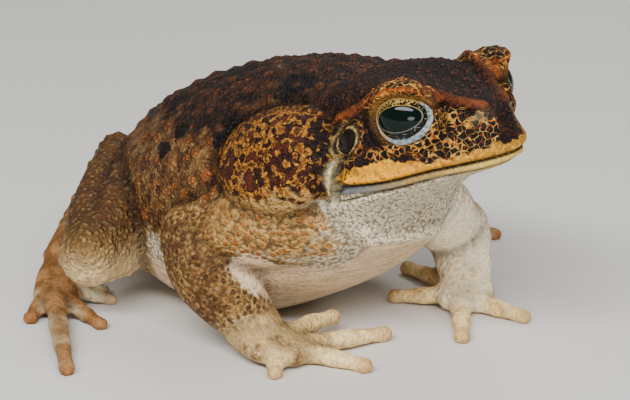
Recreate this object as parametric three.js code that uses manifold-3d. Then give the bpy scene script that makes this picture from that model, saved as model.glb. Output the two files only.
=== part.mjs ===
// A life-size cane toad, sitting with its chest raised on its arms and its hind legs folded.
// Millimetres: +X is where the body points, +Y its left, +Z up. Belly, hands and feet rest at z = 0.
import * as THREE from "three";
import { mergeVertices } from "three/addons/utils/BufferGeometryUtils.js";
import Module from "manifold-3d";

// Driving dimensions
const gap = 0.3; // left between nodes that meet
const snoutTip = [58, 0, 57.6]; // front of the upper lip
const headPitch = THREE.MathUtils.degToRad(17);
const headRoll = THREE.MathUtils.degToRad(5.5); // left side up
const neckCut = 36; // the head ends this far behind the snout tip
const eyeRadius = 6.6;
const eyePlace = { back: 17.4, side: 12.6, up: 9.6 }; // centre of an eyeball, in the head's frame
const eyeLook = { ahead: 0.5, side: 1, up: 0.12 };
const lidThickness = 1.25;
const browPlace = { back: 16.6, side: 14.8, up: 14.4 }; // centre of the thick upper lid
const browSize = [7.2, 4.6, 3.6]; // half sizes along, across and up
const lidOpening = { long: 5.9, high: 5.0 }; // half sizes of the gap between the lids
const earPlace = { back: 29.3, side: 21.2, up: 7.4 };
const earSize = { long: 2.7, high: 3.1, deep: 1.5 }; // half sizes of an eardrum
const nostrilPlace = { back: 5.2, side: 5.5, up: 7.4 };
const glandPlace = { x: 10.5, y: 25.5, z: 46 };
const glandSize = { long: 16.5, high: 12.5, deep: 8.5 }; // half sizes of a parotoid gland
const wartCount = 44;

// Each knot of a limb: x, y, z, half width, half height. The right side has negative y.
const arms = {
  right: {
    upper: [[15, -17, 34, 11, 12], [7, -23, 31.5, 11, 11.5], [-2, -29, 28, 9.4, 10], [-9.5, -34, 25, 8.4, 9]],
    fore: [[-9.5, -34, 25, 8.4, 9], [-5, -34.5, 19, 9, 9.6], [2, -33, 12.5, 8.2, 8], [8.5, -31, 7, 6.6, 5.6]],
    palm: [[6.5, -32, 6.4, 6.4, 5.4], [12.5, -30, 4, 8, 4.4], [18, -26.5, 2.6, 6.6, 2.8]],
    fingers: [
      [[12, -24, 4.2, 2.7, 2.6], [11, -16.5, 4.8, 2.2, 2.1], [10, -8.5, 4.2, 1.9, 1.8]],
      [[16.5, -23, 2.8, 2.7, 2.4], [19.5, -13, 2.6, 2.2, 2], [21.5, -2.5, 1.6, 1.9, 1.8]],
      [[19, -25.5, 2.4, 2.7, 2.3], [25.5, -22.5, 2.2, 2.2, 2], [32.5, -19.2, 1.3, 1.9, 1.8]],
      [[15, -31, 2.6, 2.6, 2.3], [18.5, -34, 2.1, 2.2, 2], [21.5, -37, 1.3, 1.8, 1.7]],
    ],
  },
  left: {
    upper: [[13, 15, 30, 10, 10], [11, 24, 24.5, 9.3, 9], [6.5, 33, 17.8, 8.4, 8.4], [3, 41, 13.5, 7.6, 7.8]],
    fore: [
      [3, 41, 13.5, 7.6, 7.8], [6.5, 38, 11.6, 7.8, 7.2], [12.5, 33, 8.6, 7, 6], [17, 29.5, 5.4, 6.2, 4.4],
    ],
    palm: [[14.5, 32, 5.2, 6, 4.4], [18, 28, 3.6, 7.4, 3.9], [21, 24.5, 2.6, 6.4, 2.8]],
    fingers: [
      [[15, 29, 3.2, 2.7, 2.5], [4, 31.5, 2.8, 2.2, 2], [-8, 33.7, 1.4, 1.9, 1.8]],
      [[16.5, 25.5, 2.9, 2.7, 2.5], [11, 21, 2.4, 2.2, 2], [4.6, 17, 1.3, 1.9, 1.8]],
      [[22, 22.5, 2.6, 2.7, 2.4], [28, 16.5, 2.2, 2.2, 2], [34.5, 10, 1.3, 1.9, 1.8]],
      [[22.5, 27, 2.6, 2.7, 2.4], [29, 28.5, 2.2, 2.2, 2], [35.5, 30.4, 1.3, 1.9, 1.8]],
    ],
  },
};
const leg = {
  thigh: [
    [-52, -6, 22, 11, 13],
    [-47, -20, 20.5, 11.5, 13.5],
    [-41, -34, 18, 10, 11],
    [-35, -46.5, 17, 7, 8],
  ],
  shank: [[-35, -46.5, 17, 7, 8], [-45, -38, 21.5, 6, 7], [-56, -26, 26, 5.4, 6], [-66, -14, 29, 5, 5.2]],
  tarsus: [
    [-66, -14, 29, 5, 5.2],
    [-63, -23, 23.5, 4, 4],
    [-58.5, -33, 16, 4, 3.8],
    [-55, -40.5, 10, 4.6, 3.8],
  ],
  sole: [[-57, -37, 10.5, 4, 3.2], [-52.5, -43.5, 6.4, 5.2, 3], [-47, -48.5, 3.8, 5.6, 2.4]],
  toes: [
    [[-51, -42, 5, 2.2, 1.9], [-49, -37.5, 2.6, 1.8, 1.6], [-47.5, -33.5, 1.1, 1.6, 1.4]],
    [[-48.5, -44, 4.4, 2.2, 1.9], [-45, -40, 2.4, 1.8, 1.6], [-41, -36, 1.1, 1.6, 1.4]],
    [[-46, -47, 3.8, 2.4, 1.9], [-38, -47.8, 2.4, 2, 1.7], [-29, -48, 1.1, 1.7, 1.5]],
    [[-45, -50, 3.6, 2.6, 2.2], [-29, -60, 2.6, 2.2, 1.9], [-11.5, -70.5, 1.2, 1.8, 1.6]],
    [[-49, -49, 4, 2.4, 2], [-46.5, -53.5, 2.6, 2.1, 1.8], [-43.5, -58.5, 1.2, 1.8, 1.5]],
  ],
};
const webThickness = 1;

const wasm = await Module();
wasm.setup();

// A value along a line: a cubic through the keys [position, value], sloped at each as its neighbours lie.
function keyed(keys) {
  const slopes = keys.map((key, i) => {
    const before = keys[Math.max(i - 1, 0)];
    const after = keys[Math.min(i + 1, keys.length - 1)];
    return (after[1] - before[1]) / (after[0] - before[0]);
  });
  return (x) => {
    let i = 0;
    while (i < keys.length - 2 && x > keys[i + 1][0]) i += 1;
    const [x0, y0] = keys[i];
    const [x1, y1] = keys[i + 1];
    const span = x1 - x0;
    const t = THREE.MathUtils.clamp((x - x0) / span, 0, 1);
    const rise = t * t * (3 - 2 * t);
    const lean = slopes[i] * (1 - t) - slopes[i + 1] * t;
    return y0 * (1 - rise) + y1 * rise + span * t * (1 - t) * lean;
  };
}

// A closed surface over rings of points, ended at both sides by a pole.
function skinOver(rings, firstPole, lastPole) {
  const around = rings[0].length;
  const points = rings.flat().concat([firstPole, lastPole]);
  const first = points.length - 2;
  const last = points.length - 1;
  const faces = [];
  for (let i = 0; i < rings.length; i += 1) {
    for (let j = 0; j < around; j += 1) {
      const a = i * around + j;
      const b = i * around + ((j + 1) % around);
      if (i === 0) faces.push(first, b, a);
      if (i === rings.length - 1) faces.push(last, a, b);
      else faces.push(a, b, b + around, a, b + around, a + around);
    }
  }
  const geometry = new THREE.BufferGeometry();
  const flat = points.flatMap((p) => [p.x, p.y, p.z]);
  geometry.setAttribute("position", new THREE.Float32BufferAttribute(flat, 3));
  geometry.setIndex(faces);
  return geometry;
}

// The solid inside a closed geometry, its faces turned outward.
function solidOf(geometry) {
  const bare = geometry.clone();
  bare.deleteAttribute("normal");
  bare.deleteAttribute("uv");
  const merged = mergeVertices(bare, 1e-4);
  const corners = new Uint32Array(merged.index.array);
  const shape = (triVerts) =>
    new wasm.Manifold(
      new wasm.Mesh({ numProp: 3, vertProperties: merged.attributes.position.array, triVerts }),
    );
  const made = shape(corners);
  if (made.volume() > 0) return made;
  for (let i = 0; i < corners.length; i += 3) {
    [corners[i + 1], corners[i + 2]] = [corners[i + 2], corners[i + 1]];
  }
  return shape(corners);
}

const largest = (solid) => solid.decompose().reduce((a, b) => (b.volume() > a.volume() ? b : a));
const joined = (solids) => solids.reduce((a, b) => a.add(b));
const cutBy = (solid, cutters) => largest(cutters.reduce((a, b) => a.subtract(b), solid));

// All that lies on the far side of a plane, `clear` beyond it.
function beyond(point, normal, clear = gap / 2) {
  const block = new THREE.BoxGeometry(240, 240, 240);
  block.translate(0, 0, 120 - clear);
  const turn = new THREE.Quaternion().setFromUnitVectors(
    new THREE.Vector3(0, 0, 1),
    normal.clone().normalize(),
  );
  block.applyQuaternion(turn);
  block.translate(point.x, point.y, point.z);
  return solidOf(block);
}
const underFloor = beyond(new THREE.Vector3(0, 0, 0), new THREE.Vector3(0, 0, -1), 0);

// A body of oval sections along a smooth path through its knots, both ends rounded; grow swells it evenly.
function limb(knots, { rings = 9, around = 12, grow = 0 } = {}) {
  const path = new THREE.CatmullRomCurve3(
    knots.map(([x, y, z]) => new THREE.Vector3(x, y, z)),
    false,
    "catmullrom",
    0.5,
  );
  const shares = knots.map((knot, i) => i / (knots.length - 1));
  const width = keyed(knots.map((knot, i) => [shares[i], knot[3] + grow]));
  const height = keyed(knots.map((knot, i) => [shares[i], knot[4] + grow]));
  const reach = [0, 1].map((end) => Math.min(width(end), height(end)));
  const length = path.getLength();
  const start = path.getTangent(0);
  const finish = path.getTangent(1);
  // Runs from -reach before the path to reach after it, so that both joints are balls around their centres.
  const sections = [];
  const at = (s) => {
    if (s < 0) return path.getPoint(0).addScaledVector(start, s);
    if (s > length) return path.getPoint(1).addScaledVector(finish, s - length);
    return path.getPoint(s / length);
  };
  const total = reach[0] + length + reach[1];
  for (let i = 1; i <= rings; i += 1) {
    const s = -reach[0] + (total * (1 - Math.cos((Math.PI * i) / (rings + 1)))) / 2;
    const t = THREE.MathUtils.clamp(s / length, 0, 1);
    const ball =
      s < 0
        ? Math.sqrt(1 - (s / reach[0]) ** 2)
        : s > length
          ? Math.sqrt(1 - ((s - length) / reach[1]) ** 2)
          : 1;
    const along = path.getTangent(t);
    const side = new THREE.Vector3(0, 0, 1).cross(along);
    if (side.length() < 0.2) side.set(0, 1, 0);
    side.normalize();
    const up = along.clone().cross(side);
    const centre = at(s);
    const ring = [];
    for (let j = 0; j < around; j += 1) {
      const angle = (2 * Math.PI * j) / around;
      ring.push(
        centre
          .clone()
          .addScaledVector(side, Math.cos(angle) * width(t) * ball)
          .addScaledVector(up, Math.sin(angle) * height(t) * ball),
      );
    }
    sections.push(ring);
  }
  return solidOf(skinOver(sections, at(-reach[0]), at(length + reach[1])));
}

// An ellipsoid; turn lays its own axes.
function oval(centre, half, turn = new THREE.Quaternion(), detail = [16, 10]) {
  const ball = new THREE.SphereGeometry(1, ...detail);
  ball.applyMatrix4(new THREE.Matrix4().compose(centre, turn, new THREE.Vector3(...half)));
  return solidOf(ball);
}

// The head's frame: `back` behind the snout tip along the head, `side` to the left, `up` over the mouth line.
const headAhead = new THREE.Vector3(Math.cos(headPitch), 0, Math.sin(headPitch));
const headLeft = new THREE.Vector3(0, 1, 0).applyAxisAngle(headAhead, headRoll);
const headUp = headAhead.clone().cross(headLeft);
const inHead = (back, side, up) =>
  new THREE.Vector3(...snoutTip)
    .addScaledVector(headAhead, -back)
    .addScaledVector(headLeft, side)
    .addScaledVector(headUp, up);
const headward = (ahead, side, up) =>
  new THREE.Vector3()
    .addScaledVector(headAhead, ahead)
    .addScaledVector(headLeft, side)
    .addScaledVector(headUp, up)
    .normalize();

// Trunk: sections across X, flatter below than above.
const trunk = {
  rear: -69,
  front: 40,
  top: keyed([
    [-69, 30], [-63, 38], [-52, 46.5], [-35, 55], [-15, 61.4], [0, 64], [12, 64.6], [24, 63.4], [42, 60],
  ]),
  bottom: keyed([
    [-69, 20], [-63, 8.5], [-53, 0.6], [-38, -1.4], [-14, -1.2], [0, 5], [12, 12.2],
    [18, 17.4], [24, 23], [32, 28], [42, 35],
  ]),
  middle: keyed([[-69, 25], [-52, 22], [-30, 24], [-8, 28], [12, 35], [24, 41], [42, 48]]),
  halfWidth: keyed([
    [-69, 6], [-63, 15], [-52, 25], [-34, 33], [-16, 35.5], [4, 31], [18, 25.8], [28, 20.8], [42, 16],
  ]),
};
function trunkPoint(x, angle, grow = 0) {
  const upper = Math.sin(angle) > 0;
  const bent = (v) => Math.sign(v) * Math.abs(v) ** (upper ? 0.93 : 0.82);
  const middle = trunk.middle(x);
  const height = upper ? trunk.top(x) - middle : middle - trunk.bottom(x);
  return new THREE.Vector3(
    x,
    (trunk.halfWidth(x) + grow) * bent(Math.cos(angle)),
    middle + (height + grow) * bent(Math.sin(angle)),
  );
}
function trunkSolid({ grow = 0, rings = 24, around = 32 } = {}) {
  const sections = [];
  for (let i = 0; i < rings; i += 1) {
    const share = 1 - Math.cos((Math.PI / 2) * (i / (rings - 1)));
    const x = trunk.rear - grow + (trunk.front - trunk.rear) * share;
    const ring = [];
    for (let j = 0; j < around; j += 1) ring.push(trunkPoint(x, (2 * Math.PI * j) / around, grow));
    sections.push(ring);
  }
  const tail = new THREE.Vector3(trunk.rear - grow - 1.5, 0, 26);
  return solidOf(skinOver(sections, tail, new THREE.Vector3(trunk.front, 0, 46)));
}

// Head: every section is a closed curve over the crown, crest, cheek, lip, jaw and throat of both sides.
const head = {
  top: keyed([[0, 2.6], [1.5, 6.4], [4, 8.8], [9, 10.8], [15, 13], [22, 15.4], [32, 18], [50, 20]]),
  crestWide: keyed([[0, 0.8], [1.5, 2.4], [4, 4], [10, 7], [16, 9.2], [24, 12], [34, 15.6], [50, 20]]),
  crestUp: keyed([[0, 2.6], [1.5, 6.9], [4, 9.2], [10, 11.6], [16, 14.4], [24, 16.6], [34, 17], [50, 16]]),
  cheekWide: keyed([[0, 1.2], [1.5, 3.6], [4, 6.2], [10, 10.8], [18, 16.4], [28, 21.2], [38, 24], [50, 26]]),
  cheekUp: keyed([[0, 1], [1.5, 2.2], [4, 3.2], [12, 4.6], [24, 5.6], [50, 6]]),
  lipWide: keyed([[0, 1.8], [1.2, 4.6], [4, 7.6], [9, 12], [18, 18.6], [28, 23.2], [38, 25.6], [50, 27]]),
  lipUp: keyed([[0, -1.3], [4, -1.3], [16, -1.1], [30, -0.6], [40, -0.2], [50, -0.2]]),
  jawWide: keyed([[0, 1.2], [1.2, 3.2], [4, 5.7], [9, 9.9], [18, 16.6], [28, 21.6], [38, 24.4], [50, 26.4]]),
  jawUp: keyed([[0, -3.1], [4, -4.5], [16, -5], [30, -6.2], [40, -7.2], [50, -8]]),
  throatWide: keyed([[0, 0.6], [1.2, 1.8], [4, 3.2], [10, 5.8], [20, 9.6], [32, 14.8], [50, 19.6]]),
  throatUp: keyed([[0, -3.2], [4, -5.2], [12, -6.4], [24, -9], [36, -14.4], [50, -20.4]]),
  bottom: keyed([[0, -3.4], [4, -5.7], [12, -7.1], [18, -8.2], [26, -10.6], [36, -16.8], [50, -24.4]]),
  end: 50,
};
// height of the slit between the jaws
const mouthUp = keyed([
  [0, -3.6], [6, -3.3], [13, -2.9], [22, -3], [30, -2.3], [36, -1.7], [50, -1.5],
]);
function headSection(back) {
  const half = [
    [0, head.top(back)],
    [head.crestWide(back), head.crestUp(back)],
    [head.cheekWide(back), head.cheekUp(back)],
    [head.lipWide(back), head.lipUp(back)],
    [head.jawWide(back), head.jawUp(back)],
    [head.throatWide(back), head.throatUp(back)],
    [0, head.bottom(back)],
  ];
  const other = half.slice(1, -1).reverse();
  const loop = half.concat(other.map(([side, up]) => [-side, up]));
  const points = loop.map(([side, up]) => new THREE.Vector3(side, up, 0));
  return new THREE.CatmullRomCurve3(points, true, "catmullrom", 0.5);
}
function headSolid(rings = 18, perKnot = 3) {
  const sections = [];
  for (let i = 0; i < rings; i += 1) {
    const back = head.end * ((i + 0.3) / (rings - 0.7)) ** 1.5;
    const curve = headSection(back);
    const ring = [];
    for (let j = 0; j < 12 * perKnot; j += 1) {
      const p = curve.getPoint(j / (12 * perKnot));
      ring.push(inHead(back, p.x, p.y));
    }
    sections.push(ring);
  }
  return solidOf(skinOver(sections, inHead(-0.3, 0, -0.6), inHead(head.end, 0, 0)));
}

// The room under the mouth line, out to all sides; drop lowers its roof.
function underMouth(drop) {
  const sections = [];
  for (let i = 0; i <= 10; i += 1) {
    const back = -6 + 6.4 * i;
    const roof = mouthUp(THREE.MathUtils.clamp(back, 0, 50)) - drop;
    sections.push([
      inHead(back, 40, roof),
      inHead(back, -40, roof),
      inHead(back, -40, -60),
      inHead(back, 40, -60),
    ]);
  }
  return solidOf(skinOver(sections, inHead(-6, 0, -30), inHead(58, 0, -30)));
}

const group = new THREE.Group();
const tones = {
  back: [0x5f452b, 0.6],
  belly: [0xe2d6ba, 0.6],
  gland: [0x8a5524, 0.6],
  eye: [0x0c1210, 0.08],
  drum: [0x33251d, 0.5],
  limb: [0xa98450, 0.6],
  finger: [0xd9c896, 0.6],
};
function place(name, solid, tone) {
  const mesh = solid.getMesh();
  const geometry = new THREE.BufferGeometry();
  const position = new Float32Array(mesh.numVert * 3);
  for (let i = 0; i < mesh.numVert; i += 1) {
    const start = i * mesh.numProp;
    position.set(mesh.vertProperties.subarray(start, start + 3), i * 3);
  }
  geometry.setAttribute("position", new THREE.BufferAttribute(position, 3));
  geometry.setIndex(new THREE.BufferAttribute(mesh.triVerts, 1));
  geometry.computeVertexNormals();
  const [color, roughness] = tones[tone];
  const made = new THREE.Mesh(geometry, new THREE.MeshStandardMaterial({ color, roughness, metalness: 0 }));
  made.name = name;
  group.add(made);
}

const sides = [["right", -1], ["left", 1]];
const grownTrunk = trunkSolid({ grow: gap });
const neck = inHead(neckCut, 0, 0);

// Head and lower jaw, parted along the mouth line.
// A bony crest runs from the nostril over the eye and down to the parotoid gland.
const crestLine = [
  [3, head.crestWide(3), head.crestUp(3) - 0.5, 0.9],
  [8, head.crestWide(8), head.crestUp(8) - 0.5, 1.1],
  [13, 9.6, 14.2, 1.3],
  [18, 11.4, 16.8, 1.4],
  [23, 13.6, 16, 1.4],
  [27.5, 16.4, 13.4, 1.2],
  [33, 19.4, 12, 1.1],
];
const crests = sides.map(([, s]) =>
  limb(
    crestLine.map(([back, side, up, half]) => [...inHead(back, s * side, up), half, half]),
    { rings: 11, around: 6 },
  ),
);
const sockets = [];
const sight = (s) => headward(eyeLook.ahead, s * eyeLook.side, eyeLook.up);
for (const [, s] of sides) {
  const centre = inHead(eyePlace.back, s * eyePlace.side, eyePlace.up);
  sockets.push(oval(centre, Array(3).fill(eyeRadius + gap), undefined, [16, 9]));
  const opening = new THREE.CylinderGeometry(1, 1, 14, 18);
  opening.translate(0, 7, 0);
  const axes = new THREE.Matrix4();
  const look = sight(s);
  const long = headAhead.clone().addScaledVector(look, -headAhead.dot(look)).normalize();
  const high = long.clone().cross(look);
  axes.makeBasis(long.clone().multiplyScalar(lidOpening.long), look, high.multiplyScalar(lidOpening.high));
  axes.setPosition(centre.clone().addScaledVector(look, 2));
  opening.applyMatrix4(axes);
  sockets.push(solidOf(opening));
}
const lids = sides.map(([, s]) => {
  const centre = inHead(eyePlace.back, s * eyePlace.side, eyePlace.up);
  return oval(centre, Array(3).fill(eyeRadius + lidThickness), undefined, [16, 9]);
});
const headLie = new THREE.Quaternion().setFromRotationMatrix(
  new THREE.Matrix4().makeBasis(headAhead, headLeft, headUp),
);
const brows = sides.map(([, s]) =>
  oval(inHead(browPlace.back, s * browPlace.side, browPlace.up), browSize, headLie, [14, 8]),
);
const earTurn = (s) =>
  new THREE.Quaternion().setFromRotationMatrix(
    new THREE.Matrix4().makeBasis(
      headward(1, s * -0.42, 0),
      headward(0.42, s * 1, 0.12).cross(headward(1, s * -0.42, 0)).normalize(),
      headward(0.42, s * 1, 0.12),
    ),
  );
const ears = sides.map(([name, s]) => {
  const at = inHead(earPlace.back, s * earPlace.side, earPlace.up);
  const size = (more) => [earSize.long + more, earSize.high + more, earSize.deep + more];
  const pit = oval(at, size(gap + 0.3), earTurn(s), [12, 6]);
  return { name, pit, drum: oval(at, size(0), earTurn(s), [12, 6]) };
});
const nostrils = sides.map(([, s]) =>
  oval(inHead(nostrilPlace.back, s * nostrilPlace.side, nostrilPlace.up), [1.1, 0.8, 0.7], undefined, [8, 6]),
);
const headAll = joined([headSolid(), ...lids, ...brows, ...crests]);
const pits = ears.map((ear) => ear.pit);
const headCuts = [beyond(neck, headAhead.clone().negate()), ...sockets, ...pits, ...nostrils];
place("head", cutBy(headAll, [...headCuts, underMouth(0)]), "back");
place("lower_jaw", largest(cutBy(headAll, [headCuts[0]]).intersect(underMouth(gap))), "belly");
for (const [name, s] of sides) {
  const centre = inHead(eyePlace.back, s * eyePlace.side, eyePlace.up);
  place(`${name}_eye`, oval(centre, Array(3).fill(eyeRadius), undefined, [16, 9]), "eye");
}
for (const ear of ears) place(`${ear.name}_tympanum`, ear.drum, "drum");

// A parotoid gland lies along the shoulder, s = -1 on the right; grow swells it evenly.
function glandSolid(s, grow = 0) {
  const long = new THREE.Vector3(0.93, s * -0.22, 0.29).normalize();
  const out = new THREE.Vector3(0.05, s * 0.86, 0.5);
  out.addScaledVector(long, -out.dot(long)).normalize();
  const lie = new THREE.Matrix4().makeBasis(long, out.clone().cross(long), out);
  return oval(
    new THREE.Vector3(glandPlace.x, s * glandPlace.y, glandPlace.z),
    [glandSize.long + grow, glandSize.high + grow, glandSize.deep + grow],
    new THREE.Quaternion().setFromRotationMatrix(lie),
    [20, 12],
  );
}

// Trunk with its warts, and the parotoid glands on the shoulders.
const warts = [];
for (let i = 0; i < wartCount; i += 1) {
  const x = -60 + 74 * ((i * 0.7548777) % 1);
  const angle = THREE.MathUtils.degToRad(20 + 140 * ((i * 0.5698403 + 0.13) % 1));
  const size = 1.6 + 1.5 * ((i * 0.371) % 1);
  const at = trunkPoint(x, angle);
  const onGland = x > -12 && Math.abs(at.y) > 13;
  const byHip = x < -46 && Math.abs(at.y) > 12;
  if (!onGland && !byHip) warts.push(oval(at, [size, size, size * 0.8], undefined, [6, 4]));
}
place("torso", cutBy(joined([trunkSolid(), ...warts]), [beyond(neck, headAhead), underFloor]), "back");
for (const [name, s] of sides) {
  place(`${name}_parotoid`, cutBy(glandSolid(s), [grownTrunk, beyond(neck, headAhead)]), "gland");
}

// The plane that halves the bend between two runs of knots.
function bend(first, second) {
  const v = (k) => new THREE.Vector3(k[0], k[1], k[2]);
  const end = v(first.at(-1));
  const before = end.clone().sub(v(first.at(-2))).normalize();
  const after = v(second[1]).sub(v(second[0])).normalize();
  return { point: end, normal: before.add(after).normalize() };
}
for (const [name, s] of sides) {
  const arm = arms[name];
  const elbow = bend(arm.upper, arm.fore);
  const back = elbow.normal.clone().negate();
  const wrist = { point: new THREE.Vector3(...arm.fore.at(-1).slice(0, 3)) };
  const wristNormal = new THREE.Vector3(...arm.palm[1].slice(0, 3))
    .sub(new THREE.Vector3(...arm.fore.at(-2).slice(0, 3)))
    .normalize();
  place(
    `${name}_upper_arm`,
    cutBy(limb(arm.upper), [grownTrunk, glandSolid(s, gap), beyond(elbow.point, elbow.normal)]),
    "limb",
  );
  place(
    `${name}_forearm`,
    cutBy(limb(arm.fore), [beyond(elbow.point, back), beyond(wrist.point, wristNormal), grownTrunk]),
    "limb",
  );
  const palmCuts = [beyond(wrist.point, wristNormal.clone().negate()), underFloor];
  place(`${name}_hand`, cutBy(limb(arm.palm, { rings: 8 }), palmCuts), "finger");
  const kept = [limb(arm.palm, { rings: 8, grow: gap }), limb(arm.fore, { grow: gap }), underFloor];
  arm.fingers.forEach((knots, i) => {
    place(`${name}_finger_${i + 1}`, cutBy(limb(knots, { rings: 8, around: 8 }), kept), "finger");
    kept.push(limb(knots, { rings: 8, around: 8, grow: gap }));
  });
}

// The web between two toes, out to `reach` of their length, hollowed toward the body of the foot.
function web(one, other, reach = 0.55) {
  const lines = [one, other].map(
    (knots) => new THREE.CatmullRomCurve3(knots.map(([x, y, z]) => new THREE.Vector3(x, y, z))),
  );
  const half = new THREE.Vector3(0, 0, webThickness / 2);
  const sections = [0.04, 0.5, 1].map((share) => {
    const [a, b] = lines.map((line) => line.getPoint(share * reach));
    return [a.clone().add(half), b.clone().add(half), b.clone().sub(half), a.clone().sub(half)];
  });
  const between = (t) => lines[0].getPoint(t).add(lines[1].getPoint(t)).multiplyScalar(0.5);
  const ends = [0, reach * 0.92].map(between);
  return solidOf(skinOver(sections, ends[0], ends[1]));
}

// Hind legs, each the mirror of the other.
for (const [name, s] of sides) {
  const mine = (knots) => knots.map(([x, y, ...rest]) => [x, -s * y, ...rest]);
  const thigh = mine(leg.thigh);
  const shank = mine(leg.shank);
  const tarsus = mine(leg.tarsus);
  const knee = bend(thigh, shank);
  const heel = bend(shank, tarsus);
  const thighCuts = [grownTrunk, beyond(knee.point, knee.normal), underFloor];
  place(`${name}_thigh`, cutBy(limb(thigh), thighCuts), "limb");
  const shankCuts = [
    beyond(knee.point, knee.normal.clone().negate()),
    limb(thigh, { grow: gap }),
    grownTrunk,
    beyond(heel.point, heel.normal),
  ];
  place(`${name}_shank`, cutBy(limb(shank), shankCuts), "limb");
  const ankle = new THREE.Vector3(...tarsus.at(-1).slice(0, 3));
  const down = ankle.clone().sub(new THREE.Vector3(...tarsus.at(-2).slice(0, 3)));
  const tarsusCuts = [
    beyond(heel.point, heel.normal.clone().negate()),
    limb(shank, { grow: gap }),
    beyond(ankle, down),
  ];
  place(`${name}_tarsus`, cutBy(limb(tarsus), tarsusCuts), "limb");
  const toes = leg.toes.map((knots) => limb(mine(knots), { rings: 8, around: 8 }));
  const webs = leg.toes.slice(1).map((knots, i) => web(mine(leg.toes[i]), mine(knots)));
  const foot = joined([limb(mine(leg.sole), { rings: 8 }), ...toes, ...webs]);
  place(`${name}_foot`, cutBy(foot, [beyond(ankle, down.clone().negate()), underFloor]), "finger");
}

// The origin goes to the middle of the box round the toad, on the floor.
const box = new THREE.Box3().setFromObject(group);
const shift = box.getCenter(new THREE.Vector3());
for (const node of group.children) node.geometry.translate(-shift.x, -shift.y, -box.min.z);

export default group;
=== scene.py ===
import math
from functools import partial
import bmesh
import bpy
import numpy as np
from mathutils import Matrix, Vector


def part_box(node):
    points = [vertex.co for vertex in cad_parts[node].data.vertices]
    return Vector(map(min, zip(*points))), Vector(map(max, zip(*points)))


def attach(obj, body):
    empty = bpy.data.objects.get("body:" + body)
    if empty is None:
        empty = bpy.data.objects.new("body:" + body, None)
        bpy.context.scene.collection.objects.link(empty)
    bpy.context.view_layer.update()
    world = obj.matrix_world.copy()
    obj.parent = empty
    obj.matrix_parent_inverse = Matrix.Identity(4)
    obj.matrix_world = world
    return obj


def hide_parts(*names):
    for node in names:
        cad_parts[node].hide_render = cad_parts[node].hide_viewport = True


# Cane toad at rest, life size: one warty skin over the whole body, two moist eyes and their lid rims.
# All shapes are worked out in millimetres in the toad's own frame (x ahead, y left, z up).

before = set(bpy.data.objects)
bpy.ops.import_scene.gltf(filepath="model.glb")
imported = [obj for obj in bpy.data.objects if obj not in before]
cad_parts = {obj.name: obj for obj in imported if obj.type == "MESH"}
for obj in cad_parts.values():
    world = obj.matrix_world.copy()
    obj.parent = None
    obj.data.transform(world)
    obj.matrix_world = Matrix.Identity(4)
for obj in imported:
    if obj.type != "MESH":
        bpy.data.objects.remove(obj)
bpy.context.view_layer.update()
print("frame loaded")

# camera
view = {"azimuth": 48, "elevation": 18, "lens": 120, "distance": 0.5, "target": (0.0056, -0.005, 0.030),
        "sensor": 36, "clip": (0.02, 20)}


def backward(azimuth, elevation):
    # unit vector from the target to the camera: azimuth from -Y turning towards +X, elevation from the floor
    a, e = math.radians(azimuth), math.radians(elevation)
    return Vector((math.sin(a) * math.cos(e), -math.cos(a) * math.cos(e), math.sin(e)))


cameraData = bpy.data.cameras.new("camera")
cameraData.lens = view["lens"]
cameraData.sensor_width = view["sensor"]
cameraData.clip_start, cameraData.clip_end = view["clip"]
camera = bpy.data.objects.new("camera", cameraData)
camera.rotation_mode = "QUATERNION"
away = backward(view["azimuth"], view["elevation"])
camera.location = Vector(view["target"]) + away * view["distance"]
camera.rotation_quaternion = (-away).to_track_quat("-Z", "Y")
bpy.context.collection.objects.link(camera)
bpy.context.scene.camera = camera
print("camera placed")


# small helpers
def hexLinear(text, alpha=1.0):
    # sRGB hex to linear RGBA
    values = [int(text[i:i + 2], 16) / 255 for i in (0, 2, 4)]
    return tuple(v / 12.92 if v <= 0.04045 else ((v + 0.055) / 1.055) ** 2.4 for v in values) + (alpha,)


def keyed(keys):
    # cubic through [position, value] keys, sloped at each key as its neighbours lie
    k = np.array(keys, float)
    xs, ys = k[:, 0], k[:, 1]
    last = len(xs) - 1
    before, after = np.maximum(np.arange(last + 1) - 1, 0), np.minimum(np.arange(last + 1) + 1, last)
    slopes = (ys[after] - ys[before]) / (xs[after] - xs[before])

    def value(x):
        x = np.asarray(x, float)
        i = np.clip(np.searchsorted(xs, x, "left") - 1, 0, last - 1)
        span = xs[i + 1] - xs[i]
        t = np.clip((x - xs[i]) / span, 0, 1)
        rise = t * t * (3 - 2 * t)
        lean = slopes[i] * (1 - t) - slopes[i + 1] * t
        return ys[i] * (1 - rise) + ys[i + 1] * rise + span * t * (1 - t) * lean
    return value


def smooth(low, high, x):
    # 0 below low, 1 above high, a smooth step between; falls instead when high is below low
    t = np.clip((np.asarray(x, float) - low) / (high - low), 0, 1)
    return t * t * (3 - 2 * t)


def bell(x, width):
    # exp(-(x / width)^2)
    return np.exp(-(np.asarray(x, float) / width) ** 2)


def spline(p0, p1, p2, p3, u):
    # cubic span from p1 to p2, sloped by its neighbours p0 and p3: half of 2p1 + (p2-p0)u +
    # (2p0-5p1+4p2-p3)u^2 + (3p1-p0-3p2+p3)u^3
    return 0.5 * (2 * p1 + (p2 - p0) * u + (2 * p0 - 5 * p1 + 4 * p2 - p3) * u ** 2
                  + (3 * p1 - p0 - 3 * p2 + p3) * u ** 3)


def throughKnots(knots, t):
    # the curve of such spans through the knots, at t from 0 to 1 along all of it
    p = np.asarray(knots, float)
    p = np.vstack([2 * p[0] - p[1], p, 2 * p[-1] - p[-2]])
    spans = len(p) - 3
    t = np.clip(np.asarray(t, float), 0, 1) * spans
    i = np.minimum(t.astype(int), spans - 1)
    u = (t - i)[:, None]
    return spline(p[i], p[i + 1], p[i + 2], p[i + 3], u)


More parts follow.
